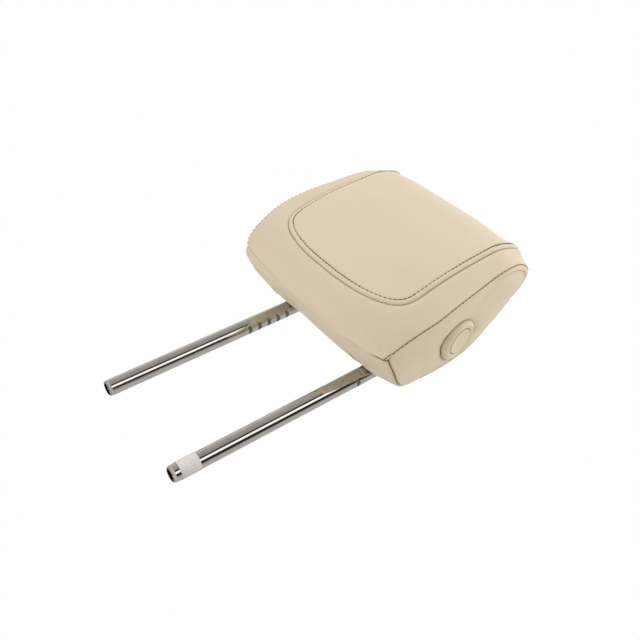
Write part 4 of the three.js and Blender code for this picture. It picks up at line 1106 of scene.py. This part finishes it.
def stitch_tree():
    """One arched thread, laid stitch by stitch along a line, made real and given its material."""
    tree = bpy.data.node_groups.new("stitch_row", "GeometryNodeTree")
    tree.interface.new_socket("Geometry", in_out="INPUT", socket_type="NodeSocketGeometry")
    for label, value in (("Pitch", STITCH_PITCH), ("Length", STITCH_LENGTH), ("Thickness", THREAD_THICKNESS)):
        socket = tree.interface.new_socket(label, in_out="INPUT", socket_type="NodeSocketFloat")
        socket.default_value = value * MM
    tree.interface.new_socket("Thread", in_out="INPUT", socket_type="NodeSocketMaterial")
    tree.interface.new_socket("Geometry", in_out="OUTPUT", socket_type="NodeSocketGeometry")
    into, out = tree.nodes.new("NodeGroupInput"), tree.nodes.new("NodeGroupOutput")

    length, thickness = into.outputs["Length"], into.outputs["Thickness"]

    def made(kind, inputs=None, **props):
        return add_node(tree, kind, props=props, inputs=inputs or {}).outputs[0]

    path = made("GeometryNodeMeshToCurve", {"Mesh": into.outputs["Geometry"]})
    evened = made("GeometryNodeResampleCurve", {
        "Curve": path, "Length": into.outputs["Pitch"]}, mode="LENGTH")
    tangent = made("GeometryNodeInputTangent")
    lift = made("GeometryNodeInputNamedAttribute", {"Name": "lift"}, data_type="FLOAT_VECTOR")
    turned_along = made("FunctionNodeAlignEulerToVector", {"Vector": tangent}, axis="X")
    turned_up = made("FunctionNodeAlignEulerToVector", {
        "Rotation": turned_along, "Vector": lift}, axis="Z", pivot_axis="X")

    start = made("ShaderNodeCombineXYZ", {"X": maths(tree, "MULTIPLY", length, -0.5)})
    end = made("ShaderNodeCombineXYZ", {"X": maths(tree, "MULTIPLY", length, 0.5)})
    line = made("GeometryNodeCurvePrimitiveLine", {"Start": start, "End": end})
    thread = made("GeometryNodeResampleCurve", {"Curve": line, "Count": 7})
    share = add_node(tree, "GeometryNodeSplineParameter").outputs["Factor"]
    centred = maths(tree, "MULTIPLY_ADD", share, 2.0, -1.0)
    cubed = maths(tree, "POWER", maths(tree, "ABSOLUTE", centred), 3.0)
    down = maths(tree, "MULTIPLY", maths(tree, "MULTIPLY", cubed, thickness), -0.9)
    arched = made("GeometryNodeSetPosition", {
        "Geometry": thread, "Offset": made("ShaderNodeCombineXYZ", {"Z": down})})
    radius = maths(tree, "MULTIPLY", thickness, 0.5)
    ring = made("GeometryNodeCurvePrimitiveCircle", {"Resolution": 7, "Radius": radius})
    marked, ring_marked = (
        made("GeometryNodeStoreNamedAttribute", {"Geometry": curve, "Name": label, "Value": share},
             data_type="FLOAT", domain="POINT")
        for curve, label in ((arched, "stitch_along"), (ring, "stitch_around")))
    solid = made("GeometryNodeCurveToMesh", {
        "Curve": marked, "Profile Curve": ring_marked, "Fill Caps": True})
    smooth = made("GeometryNodeSetShadeSmooth", {"Geometry": solid})
    placed = made("GeometryNodeInstanceOnPoints", {
        "Points": evened, "Instance": smooth, "Rotation": turned_up})
    made_real = made("GeometryNodeRealizeInstances", {"Geometry": placed})
    painted = made("GeometryNodeSetMaterial", {"Geometry": made_real, "Material": into.outputs["Thread"]})
    tree.links.new(painted, out.inputs["Geometry"])
    return tree


STITCH_TREE = stitch_tree()


def stitch_row(name, s, v, sink):
    """Stitches along the line through (s, v), laid that far below the leather's own surface."""
    points, normals = skin_with_normal(s, v)
    points = points + normals * (np.asarray(sink) + fullness(s, v))[..., None]
    mesh = bpy.data.meshes.new(name)
    mesh.from_pydata((points * MM).tolist(), [(k, k + 1) for k in range(len(points) - 1)], [])
    lift = mesh.attributes.new("lift", "FLOAT_VECTOR", "POINT")
    lift.data.foreach_set("vector", normals.astype(np.float32).ravel())
    row = linked(name, mesh)
    nodes = row.modifiers.new("stitches", "NODES")
    nodes.node_group = STITCH_TREE
    values = {"Pitch": STITCH_PITCH * MM, "Length": STITCH_LENGTH * MM, "Thickness": THREAD_THICKNESS * MM,
              "Thread": BROWN_THREAD}
    for item in STITCH_TREE.interface.items_tree:
        if item.in_out == "INPUT" and item.name in values:
            nodes[item.identifier] = values[item.name]
    apply_modifiers(row)
    return row


# Posts

def post_tube():
    """The tube bent into a U, with rounded noses, its bore, and the height notches."""
    sides = 64
    straight = CROSS_TUBE_Z - BEND_RADIUS
    nose = [(z, NOSE_RADIUS + (POST_RADIUS - NOSE_RADIUS) * math.sin(math.acos(1 - z / NOSE_LENGTH)))
            for z in NOSE_LENGTH * (1 - np.cos(np.linspace(0, math.pi / 2, 9)))]
    stops = [((0, 0, z), (0, 0, 1), r) for z, r in nose]
    stops += [((0, 0, z), (0, 0, 1), POST_RADIUS) for z in np.linspace(10, straight, 24)]
    for angle in np.linspace(0, math.pi / 2, 15)[1:]:
        place = (BEND_RADIUS * (1 - math.cos(angle)), 0, straight + BEND_RADIUS * math.sin(angle))
        stops.append((place, (math.sin(angle), 0, math.cos(angle)), POST_RADIUS))
    left = [(np.array(p) - (POST_X, 0, 0), np.array(d), r) for p, d, r in stops]
    right = [(p * (-1, 1, 1), d * (1, 1, -1), r) for p, d, r in reversed(left)]
    outer = left + right
    inner = [(p, d, POST_BORE_RADIUS) for p, d, _ in outer]
    for end in (0, -1):
        inner[end] = (*inner[end][:2], POST_BORE_RADIUS + 0.35)
    angles = np.arange(sides) * 2 * math.pi / sides
    rings = []
    for place, along, radius in outer + inner[::-1]:
        side = np.cross(along, (0, 1, 0))
        rings.append(place + radius * (np.outer(np.cos(angles), (0, 1, 0)) + np.outer(np.sin(angles), side)))
    points = np.concatenate(rings)
    faces = looped_faces(len(rings), sides)
    tube = new_piece("post_tube", points, outward(points, faces), CHROME)
    for flank, heights in ((POST_RADIUS - POST_X, LEFT_NOTCHES), (POST_RADIUS + POST_X, RIGHT_NOTCHES)):
        for low in heights:
            cut_out(tube, notch_cutter(flank, low))
    bevel = tube.modifiers.new("edges", "BEVEL")
    bevel.width = 0.25 * MM
    bevel.segments = 2
    bevel.limit_method = "ANGLE"
    bevel.angle_limit = math.radians(30)
    apply_modifiers(tube)
    tube.data.polygons.foreach_set("use_smooth", [True] * len(tube.data.polygons))
    tube.data.set_sharp_from_angle(angle=math.radians(30))
    return tube


def notch_cutter(flank, low):
    """A notch in a post's right-hand flank, with one square wall and one sloping one."""
    floor_x = flank - NOTCH_DEPTH
    clear_x = flank + 2
    shape = [(clear_x, low), (floor_x, low), (floor_x, low + 0.5 * NOTCH_LENGTH), (flank, low + NOTCH_LENGTH),
             (clear_x, low + NOTCH_LENGTH)]
    points = np.array([(x, y, z) for y in (-12, 12) for x, z in shape])
    return new_piece("notch_cutter", points, outward(points, prism_faces(len(shape))), SHADED_NOTCH_STEEL)


def paper_band():
    """A bare paper label wrapped round the right post, its end lapped over its start."""
    turns = np.linspace(0, 2 * math.pi * 1.04, 110)
    angles = turns + BAND_START
    heights = np.array([BAND_BOTTOM, BAND_BOTTOM + 0.15, *np.linspace(BAND_BOTTOM + 2, BAND_TOP - 2, 7),
                        BAND_TOP - 0.15, BAND_TOP])
    lift = 0.16 * eased(2 * math.pi * 0.96, 2 * math.pi * 1.0, turns)
    grids = []
    for radius in (BAND_RADIUS, BAND_RADIUS - BAND_THICKNESS):
        x = POST_X + ((radius + lift) * np.sin(angles))[:, None]
        y = ((radius + lift) * np.cos(angles))[:, None]
        grids.append(np.stack(np.broadcast_arrays(x, y, heights[None]), -1))
    return closed_sheet("bare_paper_band", grids[0], grids[1], np.zeros(grids[0].shape[:2]), BAND_PAPER)


def latch_coil(turns=4, wire=0.9, sides=8):
    """The coil spring between the bracket and the latch's arm."""
    lowest, highest = (np.array(corner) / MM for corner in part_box("latch_spring"))
    middle = (lowest + highest) / 2
    angles = np.linspace(0, 2 * math.pi * turns, 24 * turns + 1)
    heights = np.linspace(lowest[2] + wire / 2, highest[2] - wire / 2, len(angles))
    around = np.arange(sides) * 2 * math.pi / sides
    reach = (highest[0] - lowest[0] - wire) / 2 + wire / 2 * np.cos(around)
    points = np.stack([
        middle[0] + np.outer(np.cos(angles), reach), middle[1] + np.outer(np.sin(angles), reach),
        heights[:, None] + wire / 2 * np.sin(around)[None]], -1).reshape(-1, 3)
    faces = grid_faces(len(angles), sides, wrap=True)
    faces += [tuple(range(sides))[::-1], tuple(len(points) - sides + np.arange(sides))]
    return new_piece("latch_coil", points, outward(points, faces), BARE_STEEL), highest[2], middle[1]


# Button and ring

def button_ring():
    crown = RING_FACE_X + RING_SWELL
    profile = [(RING_HOLE_RADIUS, RING_BACK_X - 1.5), (RING_HOLE_RADIUS, crown - 1.5)]
    profile += arc_profile((RING_HOLE_RADIUS + 0.7, crown - 1.5), 0.7, 180, 90)
    profile += arc_profile((RING_HOLE_RADIUS + 3.6, crown - 3.4), 3.4, 115, 90, 4)
    profile += arc_profile((RING_RADIUS - 5.6, crown - 5.0), 5.0, 90, -20, 16)
    profile += [(RING_RADIUS - 1.6, RING_BACK_X - 1.5)]
    return turned("button_ring", profile, BEIGE_PLASTIC, 128, 50)


def button_face():
    rim = BUTTON_FACE_X + RING_SWELL
    profile = [(0, BUTTON_BACK_X), (BUTTON_RADIUS - 0.4, BUTTON_BACK_X), (BUTTON_RADIUS, BUTTON_BACK_X + 0.4)]
    profile += arc_profile((BUTTON_RADIUS - 0.9, rim - 0.9), 0.9, 0, 95, 7)
    for share in np.linspace(0.12, 0.95, 12):
        profile.append(((BUTTON_RADIUS - 0.9) * (1 - share), rim - 0.9 * (1 - (1 - share) ** 2)))
    profile.append((0, rim - 0.9))
    return turned("button_face", profile, BEIGE_PLASTIC, 96, 50)


# Put it together

centre = centre_panel()
surround = surround_panel()
back = wide_panel("back_panel", TOP_SEAM, UNDERSIDE_SEAM, 42, LEATHER_SIDE, (21, 33))
underside, trims, gussets = underside_panel()
side_right = side_panel("side_panel_right", 1)
side_left = side_panel("side_panel_left", -1)

for piece, node in (
    (centre, "centre_cover"), (surround, "surround_cover"), (back, "rear_cover"),
    (underside, "bottom_valance"), (side_right, "side_cover_right"), (side_left, "side_cover_left"),
):
    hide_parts(node)
    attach(piece, "pad")

stitch_s, stitch_v = seam_curve(CENTRE_STITCH_INSET)
rows_of_stitches = [stitch_row("centre_stitches", stitch_s, stitch_v, np.full(len(stitch_s), -0.15))]
edge_v = np.linspace(0.22, 10.1, 454)
edge_sink = -0.1 - 0.25 * eased(6.5, 8.0, edge_v)
for label, side in (("right", 1), ("left", -1)):
    row_name = "side_stitches_" + label
    rows_of_stitches.append(stitch_row(row_name, side * half_width(edge_v), edge_v, edge_sink))
for row in rows_of_stitches:
    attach(row, "pad")

for gusset, side in zip(gussets, (-1, 1)):
    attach(gusset, "pad")
    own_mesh(gusset)

for trim in trims:
    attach(trim, "pad")

ring = button_ring()
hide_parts("bezel_ring")
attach(ring, "pad")
button = button_face()
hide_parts("button_cap")
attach(button, "button")

tube = post_tube()
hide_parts("post_frame")
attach(tube, "posts")
band = paper_band()
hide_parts("paper_band")
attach(band, "posts")

coil, coil_top, coil_y = latch_coil()
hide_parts("latch_spring")
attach(coil, "pad")
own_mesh(coil)

SLOT_MATERIALS = {
    "black_plastic": BLACK_PLASTIC, "bare_steel": BARE_STEEL, "foam_core": MOULDED_FOAM,
    "chrome_post": CHROME, "cream_leather": LEATHER_SIDE, "beige_plastic": BEIGE_PLASTIC, "paper": BAND_PAPER,
}
for subpart in frame["record"]["subparts"]:
    for material_slot in frame["nodes"][subpart["node"]].material_slots:
        material_slot.material = SLOT_MATERIALS[subpart["material_slot"]]
